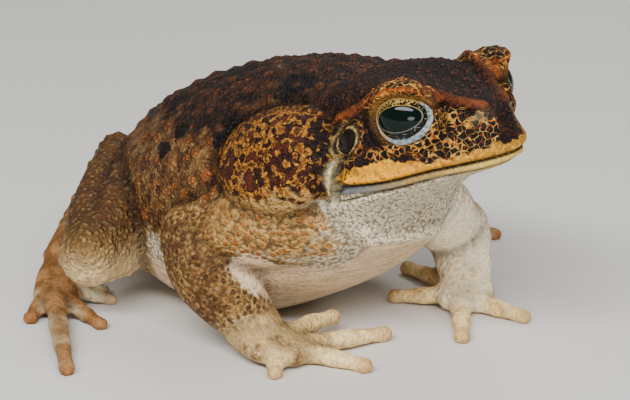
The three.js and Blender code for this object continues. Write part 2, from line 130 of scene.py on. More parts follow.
def unit(v):
    # v over its length
    v = np.asarray(v, float)
    return v / np.maximum(np.linalg.norm(v, axis=-1, keepdims=True), 1e-9)


def closedSurface(rings, firstPole, lastPole):
    # quads between neighbouring rings (n, m, 3), fans from the end rings to two poles; all split in triangles
    n, m = rings.shape[:2]
    points = np.vstack([rings.reshape(-1, 3), firstPole, lastPole])
    i, j = (g.ravel() for g in np.meshgrid(np.arange(n - 1), np.arange(m), indexing="ij"))
    a, b = i * m + j, i * m + (j + 1) % m
    j = np.arange(m)
    k = (j + 1) % m
    fans = [np.stack([0 * j + n * m, k, j], 1), np.stack([0 * j + n * m + 1, (n - 1) * m + j,
                                                          (n - 1) * m + k], 1)]
    walls = [np.stack([a, b, b + m], 1), np.stack([a, b + m, a + m], 1)]
    return points, np.vstack(walls + fans)


def outward(points, faces):
    # the same faces, turned round where the volume inside comes out negative
    a, b, c = (points[faces[:, i]] for i in range(3))
    return faces if np.einsum("ij,ij->i", a, np.cross(b, c)).sum() > 0 else faces[:, ::-1]


def together(parts):
    # several (points, faces) in one
    starts = np.cumsum([0] + [len(p) for p, f in parts[:-1]])
    return np.vstack([p for p, f in parts]), np.vstack([f + s for (p, f), s in zip(parts, starts)])


def meshObject(name, points, faces):
    # points in mm in the toad's frame become a mesh object in metres in the model's frame
    mesh = bpy.data.meshes.new(name)
    mesh.from_pydata(((points + shift) * 0.001).tolist(), [], faces.tolist())
    mesh.validate()
    made = bpy.data.objects.new(name, mesh)
    bpy.context.collection.objects.link(made)
    return made


def limbShape(knots, rings=34, around=26, swell=None):
    # ovals [x, y, z, half width, half height] carried along the curve through the knots; beyond both ends the
    # section shrinks as sqrt(1 - (s / r)^2), s past the end and r the reach, which makes ball ends;
    # swell(t) multiplies the section
    knots = np.asarray(knots, float)
    fine = throughKnots(knots[:, :3], np.linspace(0, 1, 400))
    length = np.linalg.norm(np.diff(fine, axis=0), axis=1).sum()
    shares = np.linspace(0, 1, len(knots))
    wide, high = keyed(np.c_[shares, knots[:, 3]]), keyed(np.c_[shares, knots[:, 4]])
    reach = [min(float(wide(e)), float(high(e))) for e in (0, 1)]
    spread = (1 - np.cos(np.pi * np.arange(1, rings + 1) / (rings + 1))) / 2
    s = -reach[0] + (reach[0] + length + reach[1]) * spread
    t = np.clip(s / length, 0, 1)
    before, past = np.minimum(s, 0), np.maximum(s - length, 0)
    ball = np.sqrt(np.clip(1 - (before / reach[0]) ** 2 - (past / reach[1]) ** 2, 0, 1))
    step = 1e-4
    later, earlier = (throughKnots(knots[:, :3], np.clip(t + d, 0, 1)) for d in (step, -step))
    along = unit(later - earlier)
    side = np.cross((0, 0, 1), along)
    upright = np.linalg.norm(side, axis=1) < 0.2
    side[upright] = (0, 1, 0)
    side = unit(side)
    up = np.cross(along, side)
    centre = throughKnots(knots[:, :3], t) + along * (before + past)[:, None]
    angle = np.linspace(0, 2 * np.pi, around, endpoint=False)
    grown = ball * (swell(t) if swell else 1)
    acrossPart = np.outer(wide(t) * grown, np.cos(angle))[..., None]
    upPart = np.outer(high(t) * grown, np.sin(angle))[..., None]
    sections = centre[:, None] + side[:, None] * acrossPart + up[:, None] * upPart
    first = throughKnots(knots[:, :3], [0.0])[0] - along[0] * reach[0]
    last = throughKnots(knots[:, :3], [1.0])[0] + along[-1] * reach[1]
    return closedSurface(sections, first, last)


def ovalShape(centre, half, axes=np.eye(3), rings=24, around=36):
    # centre + sum of axis_i half_i n_i, with n over the unit sphere
    v = np.pi * np.arange(1, rings + 1) / (rings + 1)
    a = np.linspace(0, 2 * np.pi, around, endpoint=False)
    ball = np.stack([np.sin(v)[:, None] * np.cos(a), np.sin(v)[:, None] * np.sin(a),
                     np.cos(v)[:, None] + 0 * a], -1)
    turn = np.asarray(axes, float)
    sections = np.asarray(centre) + (ball * half) @ turn
    return closedSurface(sections, centre + turn[2] * half[2], centre - turn[2] * half[2])


# the head's frame: back behind the snout, side to the left, up over the lip
head = {
    "snout": (58, 0, 57.6), "pitch": 17, "roll": 5.5, "neck": 36,
    "eyeRadius": 6.6, "eye": (17.4, 12.6, 9.6), "look": (0.5, 1, 0.12), "lid": 1.25,
    "opening": (5.9, 5.6, 4.1, 4.6),
    "brow": (16.6, 14.8, 14.4), "browSize": (7.2, 4.6, 3.6),
    "ear": (29.3, 21.2, 7.4), "earSize": (1.8, 2.1), "nostril": (5.2, 5.5, 7.4), "corner": 34.9,
}
snout = np.array(head["snout"], float)
pitch, roll = math.radians(head["pitch"]), math.radians(head["roll"])
headAhead = np.array([math.cos(pitch), 0, math.sin(pitch)])
headLeft = np.array([-math.sin(pitch) * math.sin(roll), math.cos(roll), math.cos(pitch) * math.sin(roll)])
headUp = np.cross(headAhead, headLeft)


def inHead(back, side, up):
    # head coordinates to the toad's frame
    outer = np.multiply.outer
    return snout - outer(back, headAhead) + outer(side, headLeft) + outer(up, headUp)


def openingAt(angle):
    # eye opening seen along the look, angle from ahead turning up: half lengths ahead, behind, above and
    # below joined as ellipse quarters; the bare lid edge outside it is widest ahead and below; both as
    # (radius, edge width)
    ahead, behind, over, under = head["opening"]
    long, high = np.where(np.cos(angle) > 0, ahead, behind), np.where(np.sin(angle) > 0, over, under)
    radius = 1 / np.sqrt((np.cos(angle) / long) ** 2 + (np.sin(angle) / high) ** 2)
    return radius, 0.2 + 0.95 * smooth(-0.3, 0.9, np.cos(angle + 0.95))


def headCoordinates(points):
    # the toad's frame to back, side, up
    d = points - snout
    return -d @ headAhead, d @ headLeft, d @ headUp


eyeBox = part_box("right_eye")
eyeMiddle = np.array((eyeBox[0] + eyeBox[1]) / 2) * 1000
shift = eyeMiddle - inHead(head["eye"][0], -head["eye"][1], head["eye"][2])
print("toad frame to model frame, mm:", shift.round(2))

# trunk
trunk = {
    "rear": -69, "front": 40,
    "top": keyed([(-69, 30), (-63, 38), (-52, 46.5), (-35, 55), (-15, 61.4), (0, 64), (12, 64.6), (24, 63.4),
                  (42, 60)]),
    "bottom": keyed([
        (-69, 20), (-63, 8.5), (-53, 0.6), (-38, -1.4), (-14, -1.2), (0, 5), (12, 12.2), (18, 17.4),
        (24, 23), (32, 28), (42, 35),
    ]),
    "middle": keyed([(-69, 25), (-52, 22), (-30, 24), (-8, 28), (12, 35), (24, 41), (42, 48)]),
    "halfWidth": keyed([(-69, 6), (-63, 15), (-52, 25), (-34, 33), (-16, 35.5), (4, 31), (18, 25.8),
                        (28, 20.8), (42, 16)]),
}


def trunkShape(rings=60, around=72):
    # section at x: y = half width * bent(cos a), z = middle + height * bent(sin a), where bent(v) is
    # sign(v) |v|^p with p 0.93 above the middle and 0.82 below; what lies ahead of the neck plane is laid
    # back onto it
    share = 1 - np.cos(np.pi / 2 * np.arange(rings) / (rings - 1))
    x = (trunk["rear"] + (trunk["front"] - trunk["rear"]) * share)[:, None]
    a = np.linspace(0, 2 * np.pi, around, endpoint=False)[None, :]
    upper = np.sin(a) > 0
    power = np.where(upper, 0.93, 0.82)
    across = np.sign(np.cos(a)) * np.abs(np.cos(a)) ** power
    rise = np.sign(np.sin(a)) * np.abs(np.sin(a)) ** power
    middle = trunk["middle"](x)
    height = np.where(upper, trunk["top"](x) - middle, middle - trunk["bottom"](x))
    points = np.stack([x + 0 * a, trunk["halfWidth"](x) * across, middle + height * rise], -1)
    ahead = (points - inHead(head["neck"], 0, 0)) @ headAhead - 2
    points = points - np.maximum(ahead, 0)[..., None] * headAhead
    tail = np.array([trunk["rear"] - 1.5, 0, 26.0])
    front = points[-1].mean(0)
    return closedSurface(points, tail, front)


# head lines, each a height or half width over the distance back
headLines = {
    "crown": keyed([(0, 2.6), (1.5, 6.4), (4, 8.8), (9, 10.8), (15, 13), (22, 15.4), (32, 18), (50, 20)]),
    "crestWide": keyed([(0, .8), (1.5, 2.4), (4, 4), (10, 7), (16, 9.2), (24, 12), (34, 15.6), (50, 20)]),
    "crestUp": keyed([(0, 2.6), (1.5, 6.9), (4, 9.2), (10, 11.6), (16, 14.4), (24, 16.6), (34, 17),
                      (50, 16)]),
    "cheekWide": keyed([(0, 1.2), (1.5, 3.6), (4, 6.2), (10, 10.8), (18, 16.4), (28, 21.2), (38, 24),
                        (50, 26)]),
    "cheekUp": keyed([(0, 1), (1.5, 2.2), (4, 3.2), (12, 4.6), (24, 5.6), (50, 6)]),
    "lipWide": keyed([(0, 1.8), (1.2, 4.6), (4, 7.6), (9, 12), (18, 18.6), (28, 23.2), (38, 25.6), (50, 27)]),
    "lipUp": keyed([(0, -1.3), (4, -1.3), (16, -1.1), (30, -.6), (40, -.2), (50, -.2)]),
    "jawWide": keyed([(0, 1.2), (1.2, 3.2), (4, 5.7), (9, 9.9), (18, 16.6), (28, 21.6), (38, 24.4),
                      (50, 26.4)]),
    "jawUp": keyed([(0, -3.1), (4, -4.5), (16, -5), (30, -6.2), (40, -7.2), (50, -8)]),
    "throatWide": keyed([(0, .6), (1.2, 1.8), (4, 3.2), (10, 5.8), (20, 9.6), (32, 14.8), (50, 19.6)]),
    "throatUp": keyed([(0, -3.2), (4, -5.2), (12, -6.4), (24, -9), (36, -14.4), (50, -20.4)]),
    "chin": keyed([(0, -3.4), (4, -5.7), (12, -7.1), (18, -8.2), (26, -10.6), (36, -16.8), (50, -24.4)]),
    "mouthUp": keyed([(0, -3.6), (6, -3.3), (13, -2.9), (22, -3), (30, -2.3), (36, -1.7), (50, -1.5)]),
}


def headShape(rings=56, perKnot=8, end=44):
    # each section is a closed curve of such spans through crown, crest, cheek, lip, jaw, throat, chin and
    # their mirrors; the sections stand closer together towards the snout
    back = end * ((np.arange(rings) + 0.3) / (rings - 0.7)) ** 1.5
    rows = ("crest", "cheek", "lip", "jaw", "throat")
    wides = [0 * back, *(headLines[row + "Wide"](back) for row in rows), 0 * back]
    ups = [headLines["crown"](back), *(headLines[row + "Up"](back) for row in rows), headLines["chin"](back)]
    half = np.stack([np.stack(wides, 1), np.stack(ups, 1)], -1)
    loop = np.concatenate([half, half[:, 5:0:-1] * (-1, 1)], 1)
    count = loop.shape[1]
    t = np.arange(count * perKnot) / perKnot
    i = t.astype(int)
    u = (t - i)[None, :, None]
    section = spline(*(loop[:, (i + k) % count] for k in (-1, 0, 1, 2)), u)
    points = inHead(np.repeat(back[:, None], section.shape[1], 1), section[..., 0], section[..., 1])
    return closedSurface(points, inHead(-0.3, 0, -0.6), inHead(end, 0, 0))


# the bony crest: back, side, up, half thickness; its first two knots lie just under the head's own crest line
crestLine = [
    *((at, float(headLines["crestWide"](at)), float(headLines["crestUp"](at)) - 0.5, thick)
      for at, thick in ((3, 0.9), (8, 1.1))),
    (13, 9.6, 14.2, 1.3), (18, 11.4, 16.8, 1.4), (23, 13.6, 16, 1.4), (27.5, 16.4, 13.4, 1.2),
    (33, 19.4, 12, 1.1),
]

# limbs: knots of x, y, z, half width, half height
arms = {
    "right": {
        "upper": [(15, -17, 34, 11, 12), (7, -23, 31.5, 11, 11.5), (-2, -29, 28, 9.4, 10),
                  (-9.5, -34, 25, 8.4, 9)],
        "fore": [(-9.5, -34, 25, 8.4, 9), (-5, -34.5, 19, 9, 9.6), (2, -33, 12.5, 8.2, 8),
                 (8.5, -31, 7, 6.6, 5.6)],
        "palm": [(6.5, -32, 6.4, 6.4, 5.4), (12.5, -30, 4, 8, 4.4), (18, -26.5, 2.6, 6.6, 2.8)],
        "fingers": [
            [(12, -24, 4.2, 2.7, 2.6), (11, -16.5, 4.8, 2.2, 2.1), (10, -8.5, 4.2, 1.9, 1.8)],
            [(16.5, -23, 2.8, 2.7, 2.4), (19.5, -13, 2.6, 2.2, 2), (21.5, -2.5, 1.6, 1.9, 1.8)],
            [(19, -25.5, 2.4, 2.7, 2.3), (25.5, -22.5, 2.2, 2.2, 2), (32.5, -19.2, 1.3, 1.9, 1.8)],
            [(15, -31, 2.6, 2.6, 2.3), (18.5, -34, 2.1, 2.2, 2), (21.5, -37, 1.3, 1.8, 1.7)],
        ],
    },
    "left": {
        "upper": [(13, 15, 30, 10, 10), (11, 24, 24.5, 9.3, 9), (6.5, 33, 17.8, 8.4, 8.4),
                  (3, 41, 13.5, 7.6, 7.8)],
        "fore": [(3, 41, 13.5, 7.6, 7.8), (6.5, 38, 11.6, 7.8, 7.2), (12.5, 33, 8.6, 7, 6),
                 (17, 29.5, 5.4, 6.2, 4.4)],
        "palm": [(14.5, 32, 5.2, 6, 4.4), (18, 28, 3.6, 7.4, 3.9), (21, 24.5, 2.6, 6.4, 2.8)],
        "fingers": [
            [(15, 29, 3.2, 2.7, 2.5), (4, 31.5, 2.8, 2.2, 2), (-8, 33.7, 1.4, 1.9, 1.8)],
            [(16.5, 25.5, 2.9, 2.7, 2.5), (11, 21, 2.4, 2.2, 2), (4.6, 17, 1.3, 1.9, 1.8)],
            [(22, 22.5, 2.6, 2.7, 2.4), (28, 16.5, 2.2, 2.2, 2), (34.5, 10, 1.3, 1.9, 1.8)],
            [(22.5, 27, 2.6, 2.7, 2.4), (29, 28.5, 2.2, 2.2, 2), (35.5, 30.4, 1.3, 1.9, 1.8)],
        ],
    },
}
leg = {
    "thigh": [(-52, -6, 22, 11, 13), (-47, -20, 20.5, 11.5, 13.5), (-41, -34, 18, 10, 11),
              (-35, -46.5, 17, 7, 8)],
    "shank": [(-35, -46.5, 17, 7, 8), (-45, -38, 21.5, 6, 7), (-56, -26, 26, 5.4, 6), (-66, -14, 29, 5, 5.2)],
    "tarsus": [(-66, -14, 29, 5, 5.2), (-63, -23, 23.5, 4, 4), (-58.5, -33, 16, 4, 3.8),
               (-55, -40.5, 10, 4.6, 3.8)],
    "sole": [(-57, -37, 10.5, 4, 3.2), (-52.5, -43.5, 6.4, 5.2, 3), (-47, -48.5, 3.8, 5.6, 2.4)],
    "toes": [
        [(-51, -42, 5, 2.2, 1.9), (-49, -37.5, 2.6, 1.8, 1.6), (-47.5, -33.5, 1.1, 1.6, 1.4)],
        [(-48.5, -44, 4.4, 2.2, 1.9), (-45, -40, 2.4, 1.8, 1.6), (-41, -36, 1.1, 1.6, 1.4)],
        [(-46, -47, 3.8, 2.4, 1.9), (-38, -47.8, 2.4, 2, 1.7), (-29, -48, 1.1, 1.7, 1.5)],
        [(-45, -50, 3.6, 2.6, 2.2), (-29, -60, 2.6, 2.2, 1.9), (-11.5, -70.5, 1.2, 1.8, 1.6)],
        [(-49, -49, 4, 2.4, 2), (-46.5, -53.5, 2.6, 2.1, 1.8), (-43.5, -58.5, 1.2, 1.8, 1.5)],
    ],
}
gland = {"place": (10.5, 25.5, 46), "half": (16.5, 12.5, 8.5)}


def glandAxes(s):
    # rows: long axis, height axis, outward axis of the gland on side s
    long = unit((0.93, s * -0.22, 0.29))
    out = np.array((0.05, s * 0.86, 0.5))
    out = unit(out - long * (out @ long))
    return np.stack([long, np.cross(out, long), out])


def webShape(one, other, reach=0.55, half=0.75):
    # the strip (1 - v) a(t) + v b(t) between two toe curves a and b, out to reach of their length; its free
    # edge is hollowed by 0.32 (1 - (2v - 1)^2) of the length; 2 half thick
    out, across = np.linspace(0.04, reach, 14), np.linspace(0, 1, 12)
    t = out[None, :] * (1 - 0.32 * (1 - (2 * across[:, None] - 1) ** 2))
    lines = [throughKnots(np.asarray(k)[:, :3], t.ravel()).reshape(*t.shape, 3) for k in (one, other)]
    mid = lines[0] * (1 - across)[:, None, None] + lines[1] * across[:, None, None]
    up = np.array([0, 0, half])
    rings = np.concatenate([mid + up, mid[:, ::-1] - up], 1)
    return closedSurface(rings, mid[0].mean(0), mid[-1].mean(0))


def jointed(bulges, tip=0.0):
    # swelling along a digit: 1 plus a bell at each joint, less one behind the tip, plus one at the tip
    def swell(t):
        joints = sum(0.13 * bell(t - place, 0.07) for place in bulges)
        return 1 + joints - 0.1 * bell(t - 0.82, 0.09) + tip * bell(t - 1, 0.08)
    return swell


def mirrored(knots, s):
    # the leg's knots are the right side's (s = -1)
    return [(x, -s * y, z, w, h) for x, y, z, w, h in knots]


both = (("right", -1), ("left", 1))
parts = [trunkShape(), headShape()]
for name, s in both:
    eyeCentre = inHead(head["eye"][0], s * head["eye"][1], head["eye"][2])
    parts.append(ovalShape(eyeCentre, np.full(3, head["eyeRadius"] + head["lid"])))
    browCentre = inHead(head["brow"][0], s * head["brow"][1], head["brow"][2])
    parts.append(ovalShape(browCentre, np.array(head["browSize"]), np.stack([headAhead, headLeft, headUp])))
    crest = [(*inHead(b, s * w, u), h, h) for b, w, u, h in crestLine]
    parts.append(limbShape(crest, 40, 16))
    parts.append(ovalShape(np.array(gland["place"]) * (1, s, 1), np.array(gland["half"]), glandAxes(s)))
    arm = arms[name]
    parts += [limbShape(arm["upper"], 40, 36), limbShape(arm["fore"], 40, 36), limbShape(arm["palm"], 26, 30)]
    parts += [limbShape(knots, 44, 20, jointed((0.1, 0.5), 0.1)) for knots in arm["fingers"]]
    parts += [limbShape(mirrored(leg[k], s), 40, 32) for k in ("thigh", "shank", "tarsus", "sole")]
    parts += [limbShape(mirrored(k, s), 48, 20, jointed((0.08, 0.42, 0.68), 0.1)) for k in leg["toes"]]
    parts += [webShape(mirrored(a, s), mirrored(b, s)) for a, b in zip(leg["toes"], leg["toes"][1:])]

# one skin over all of it
skinMake = {"voxel": 0.95, "melt": 8, "headMelt": 4}        # voxel in mm, melts in rounds
skin = meshObject("warty_skin", *together(parts))
remesh = skin.modifiers.new("fuse", "REMESH")
remesh.mode = "VOXEL"
remesh.voxel_size = skinMake["voxel"] * 0.001
fused = bpy.data.meshes.new_from_object(skin.evaluated_get(bpy.context.evaluated_depsgraph_get()))
skin.modifiers.clear()
apart = skin.data
skin.data = fused
bpy.data.meshes.remove(apart)
print("fused:", len(fused.vertices), "points", len(fused.polygons), "faces")

# numpy tools for the fused skin
def meshArrays(mesh):
    # points in mm in the toad's frame, and the faces' corner triangles
    flat = np.empty(len(mesh.vertices) * 3)
    mesh.vertices.foreach_get("co", flat)
    mesh.calc_loop_triangles()
    corners = np.empty(len(mesh.loop_triangles) * 3, int)
    mesh.loop_triangles.foreach_get("vertices", corners)
    return flat.reshape(-1, 3) * 1000 - shift, corners.reshape(-1, 3)


def edgeArray(mesh):
    # the two point numbers of each edge
    flat = np.empty(len(mesh.edges) * 2, int)
    mesh.edges.foreach_get("vertices", flat)
    return flat.reshape(-1, 2)


def storePoints(mesh, points):
    # the other way round from meshArrays
    mesh.vertices.foreach_set("co", ((points + shift) * 0.001).ravel())
    mesh.update()


def storeValues(mesh, name, values):
    # one number for each point, for the material to read
    mesh.attributes.new(name, "FLOAT", "POINT").data.foreach_set("value", np.asarray(values, np.float32))


def neighbourMean(values, edges, count):
    # mean of the values at each point's neighbours
    values = values.reshape(len(values), -1)
    a, b = edges[:, 0], edges[:, 1]
    sums = [np.bincount(a, v[b], len(values)) + np.bincount(b, v[a], len(values)) for v in values.T]
    return np.stack(sums, 1) / count[:, None]


def relax(points, edges, rounds, amount=0.5, weight=1.0):
    # each round moves points towards their neighbours' mean, then a little further back out, so nothing thins
    count = np.maximum(np.bincount(edges.ravel(), minlength=len(points)), 1)
    weight = np.broadcast_to(np.asarray(weight, float), (len(points),))[:, None]
    for step in range(rounds):
        for factor in (amount, -amount * 1.04):
            points = points + weight * factor * (neighbourMean(points, edges, count) - points)
    return points


def melt(values, edges, rounds):
    # evens out a mask over the surface
    count = np.maximum(np.bincount(edges.ravel(), minlength=len(values)), 1)
    for step in range(rounds):
        values = 0.5 * values + 0.5 * neighbourMean(values, edges, count)[:, 0]
    return values


def drape(points, edges, weight, rounds):
    # the weighted patch settles like a stretched film: each point goes 0.6 weight of the way to its
    # neighbours' mean
    chosen = edges[(weight[edges] > 0).any(1)]
    ids, local = np.unique(chosen, return_inverse=True)
    local, patch, points = local.reshape(-1, 2), points[ids], points.copy()
    count = np.maximum(np.bincount(local.ravel(), minlength=len(ids)), 1)
    for step in range(rounds):
        patch = patch + 0.6 * weight[ids][:, None] * (neighbourMean(patch, local, count) - patch)
    points[ids] = patch
    return points


def pointNormals(points, tris):
    # sum of the neighbouring triangles' cross products, made one long
    a, b, c = (points[tris[:, i]] for i in range(3))
    cross = np.cross(b - a, c - a)
    sums = [sum(np.bincount(tris[:, k], part, len(points)) for k in range(3)) for part in cross.T]
    return unit(np.stack(sums, 1))


skinMesh = skin.data
points, tris = meshArrays(skinMesh)
points = relax(points, edgeArray(skinMesh), skinMake["melt"])
storePoints(skinMesh, points)

# the head and neck get faces half the size
fine = bmesh.new()
fine.from_mesh(skinMesh)
back, side, up = headCoordinates(points)
inFine = (back < 37) & (up > -12) & (np.abs(side) < 27)
fine.verts.ensure_lookup_table()
chosen = [e for e in fine.edges if inFine[e.verts[0].index] and inFine[e.verts[1].index]]
bmesh.ops.subdivide_edges(fine, edges=chosen, cuts=1, use_grid_fill=True)
bmesh.ops.triangulate(fine, faces=[f for f in fine.faces if len(f.verts) > 4])
fine.to_mesh(skinMesh)
fine.free()
points, tris = meshArrays(skinMesh)
edges = edgeArray(skinMesh)
back, side, up = headCoordinates(points)
nearHead = smooth(40, 35, back) * smooth(-14, -10, up)
points = relax(points, edges, skinMake["headMelt"], weight=nearHead)
print("skin:", len(points), "points", len(tris), "triangles")

# where each point of the skin lies
def limbNearness(points, runs):
    # smallest distance to the runs' centre lines, as a share of their half thickness there, and how far along
    best, along = np.full(len(points), 9.0), np.zeros(len(points))
    for knots in runs:
        knots = np.asarray(knots, float)
        t = np.linspace(0, 1, 17)
        centre = throughKnots(knots[:, :3], t)
        shares = np.linspace(0, 1, len(knots))
        thick = 0.5 * (np.interp(t, shares, knots[:, 3]) + np.interp(t, shares, knots[:, 4]))
        reach = np.linalg.norm(points[:, None] - centre[None], axis=2) / thick
        nearest = reach.argmin(1)
        lowest = reach[np.arange(len(points)), nearest]
        along = np.where(lowest < best, t[nearest], along)
        best = np.minimum(best, lowest)
    return best, along


def onBoth(*names):
    # the right leg's runs of those names and their mirrors
    runs = [run for k in names for run in (leg[k] if k == "toes" else [leg[k]])]
    return [mirrored(run, s) for n, s in both for run in runs]


fingerRuns = [run for n, s in both for run in arms[n]["fingers"]]
upperNear, upperAlong = limbNearness(points, [arms[n]["upper"] for n, s in both])
foreNear = limbNearness(points, [arms[n]["fore"] for n, s in both])[0]
handNear = limbNearness(points, [arms[n]["palm"] for n, s in both] + fingerRuns)[0]
fingerNear, fingerAlong = limbNearness(points, fingerRuns)
legNear = limbNearness(points, onBoth("thigh", "shank", "tarsus"))[0]
footNear = limbNearness(points, onBoth("sole", "toes"))[0]
toeNear, toeAlong = limbNearness(points, onBoth("toes"))
tarsusNear, tarsusAlong = limbNearness(points, onBoth("tarsus"))
innerRuns = [mirrored(run, s) for n, s in both for run in leg["toes"][:2]]
innerToe = smooth(1.5, 1.1, limbNearness(points, innerRuns)[0])
normals = pointNormals(points, tris)
edges = edgeArray(skinMesh)

masks = {}
px, py, pz = points.T
handLike = smooth(1.5, 1.1, handNear) * (pz < 13)
footLike = smooth(1.6, 1.1, footNear)
fore = smooth(1.35, 1.12, foreNear)
upper = smooth(1.3, 1.1, upperNear)
isArm = np.maximum(upper, fore) * (1 - handLike)
isLeg = smooth(1.4, 1.15, legNear) * (1 - footLike) * (px < -28)
isDigit = np.maximum(handLike, footLike)
armTop = smooth(1.5, -2.5, pz - 34.5 - 0.3 * np.clip(px + 5, -20, 14))
armHere = armTop * np.maximum(upper * smooth(0.0, 0.3, upperAlong), fore) * (1 - 0.5 * handLike)
masks["arm"] = melt(armHere, edges, 10)
masks["leg"] = melt(isLeg, edges, 8)
fingers = smooth(0.0, 0.5, fingerAlong) * smooth(1.6, 1.2, fingerNear)
masks["digit"] = melt(handLike * np.maximum(0.5, fingers), edges, 10)
heel = smooth(1.5, 1.1, tarsusNear) * smooth(0.1, 0.45, tarsusAlong)
masks["foot"] = melt(np.maximum(footLike, heel), edges, 8)
web = melt(footLike * smooth(1.0, 1.35, toeNear) * smooth(0.1, 0.3, toeAlong) * (pz < 6), edges, 3)
masks["web"] = np.maximum(web, 0.8 * innerToe)
fingerTip = smooth(0.78, 1.0, fingerAlong) * smooth(1.5, 1.1, fingerNear)
masks["tip"] = np.maximum(fingerTip, smooth(0.72, 0.98, toeAlong) * smooth(1.5, 1.1, toeNear))
print("regions found")

# features of the head; how far each stands out or goes in, in mm
relief = {
    "crest": 0.8, "besideCrest": 0.35, "slit": 0.9, "upperLip": 0.5, "lowerLip": 0.3, "lipFold": 0.6,
    "beforeEye": 0.8, "cornerFold": 0.9, "beforeFold": 0.8, "behindFold": 0.6, "nostril": 1.3,
    "nostrilRim": 0.5,
    "earRing": 0.4, "eardrum": 0.35, "lidHigh": 0.9, "lidRest": 0.5, "lidGroove": 0.4, "lidRoll": 0.25,
    "glandCrease": 0.9, "neckTuck": 3.4, "chestRoll": 0.9, "chestCrease": 1.0,
}


def headRegion(points):
    # back, side, up of each point, and how far it belongs to the head
    back, side, up = headCoordinates(points)
    return back, side, up, smooth(40, 37, back) * smooth(-30, -27, up) * smooth(1.2, 1.3, handNear)


def behindCorner(back, up):
    # how far behind the fold at the mouth's corner, which leans back as it goes down
    return back - head["corner"] + 0.4 * (up + 3.5)


back, side, up, onHead = headRegion(points)
wide = np.abs(side)
lip = up - headLines["mouthUp"](back)         # height over the mouth line
alongMouth = smooth(34, 32.4, back) * onHead
curve = throughKnots(np.array(crestLine)[:, :3], np.linspace(0, 1, 90))
places = np.stack([back, wide, up], 1)
fromCrest = np.full(len(points), 9.0)
near = onHead > 0.01
fromCrest[near] = np.linalg.norm(places[near][:, None] - curve[None], axis=2).min(1)
# the bony crest from nostril to gland, the slit between the jaws, the rolled lips
move = relief["crest"] * bell(fromCrest, 0.85) - relief["besideCrest"] * bell(fromCrest - 2.2, 0.8)
move -= relief["slit"] * bell(lip, 0.6) * alongMouth
move += relief["upperLip"] * bell(lip - 1.6, 1.1) * alongMouth * smooth(0, 5, back)
move += relief["lowerLip"] * bell(lip + 0.9, 0.6) * alongMouth
# the fold under the lower lip, the hollow before the eye
fold = lip + 2.1 + 1.6 * smooth(22, 35, back)
move -= relief["lipFold"] * bell(fold, 0.42) * smooth(6, 10, back) * smooth(36, 34, back) * onHead
hollow = bell(back - 10.5, 4.2) * bell(up - 6.2, 2.4) * smooth(2.2, 3.5, fromCrest)
move -= relief["beforeEye"] * hollow * onHead
# the fold at the mouth's corner, between two hollows
cornerAt = behindCorner(back, up)
folds = relief["cornerFold"] * bell(cornerAt, 0.75)
folds -= relief["beforeFold"] * bell(cornerAt + 1.5, 0.6) + relief["behindFold"] * bell(cornerAt - 1.7, 0.8)
move += folds * smooth(-8, -5, up) * smooth(5, 2, up) * onHead
# nostril and the swelling round it, eardrum and its ring
fromNostril = (places - head["nostril"]) / (1.15, 2.4, 0.85)
nostril = np.linalg.norm(fromNostril, axis=1)
swelling = np.hypot((back - head["nostril"][0] + 1.6) / 1.8, (up - head["nostril"][2] + 1.2) / 1.5)
move += relief["nostrilRim"] * bell(swelling, 1) * onHead * (wide > 1.5)
move -= relief["nostril"] * bell(nostril, 0.85) * onHead
fromEar = places - head["ear"]
earShare = np.hypot(fromEar[:, 0] / head["earSize"][0], fromEar[:, 2] / head["earSize"][1])
earHere = (wide > 14) * onHead
move += relief["earRing"] * bell(earShare - 1.3, 0.2) * earHere
move -= relief["eardrum"] * smooth(1.1, 0.85, earShare) * earHere
points = points + normals * move[:, None]

# lids: inside the opening the skin goes in behind the eyeball, round it the lid stands off the ball
eyeBase = np.array(head["eye"])
look = unit((-head["look"][0], head["look"][1], head["look"][2]))     # in back, side, up
eyeLong = np.array((-1.0, 0, 0))
eyeLong = unit(eyeLong - look * (eyeLong @ look))
eyeHigh = np.cross(eyeLong, look)
eyeHigh = eyeHigh * np.sign(eyeHigh[2])
eyeBack, eyeSide, eyeUp = headCoordinates(points)
fromEye = np.stack([eyeBack, np.abs(eyeSide), eyeUp], 1) - eyeBase
alongEye, overEye, outEye = fromEye @ eyeLong, fromEye @ eyeHigh, fromEye @ look
angleEye = np.arctan2(overEye, alongEye)
openRadius, edgeWidth = openingAt(angleEye)
ballOut = np.sqrt(np.maximum(head["eyeRadius"] ** 2 - openRadius ** 2, 0.3))
opening = np.hypot(alongEye, overEye) / (openRadius + edgeWidth)     # 1 at the outside of the lid's edge
byEye = (outEye > 0) & (np.linalg.norm(fromEye, axis=1) < head["eyeRadius"] + 3.4) & (onHead > 0.5)
# points close to the edge are drawn right onto it, so that it runs clean
snap = np.where(byEye & (np.abs(opening - 1) < 0.09), np.maximum(opening, 0.1), 1.0)
alongEye, overEye, opening = alongEye / snap, overEye / snap, opening / snap
inside, onLid = byEye & (opening < 0.995), byEye & (opening >= 0.995)
above = smooth(-0.1, 0.5, np.sin(angleEye))
lidOut = ballOut - 0.6 * edgeWidth + 0.3
lidOut += (relief["lidRest"] + relief["lidHigh"] * above) * smooth(1.0, 1.3, opening)
lidOut += relief["lidRoll"] * bell(opening - 1.46, 0.08) - relief["lidGroove"] * bell(opening - 1.28, 0.06)
sunk = np.sqrt(np.maximum((head["eyeRadius"] - 1.0) ** 2 - alongEye ** 2 - overEye ** 2, 0.5))
blend = smooth(1.6, 1.15, opening)
newOut = np.where(inside, sunk, np.where(onLid, outEye * (1 - blend) + lidOut * blend, outEye))
moved = np.outer(alongEye, eyeLong) + np.outer(overEye, eyeHigh) + np.outer(newOut, look) + eyeBase
lidPoints = inHead(moved[:, 0], moved[:, 1] * np.where(side < 0, -1.0, 1.0), moved[:, 2])
points = np.where((inside | onLid)[:, None], lidPoints, points)
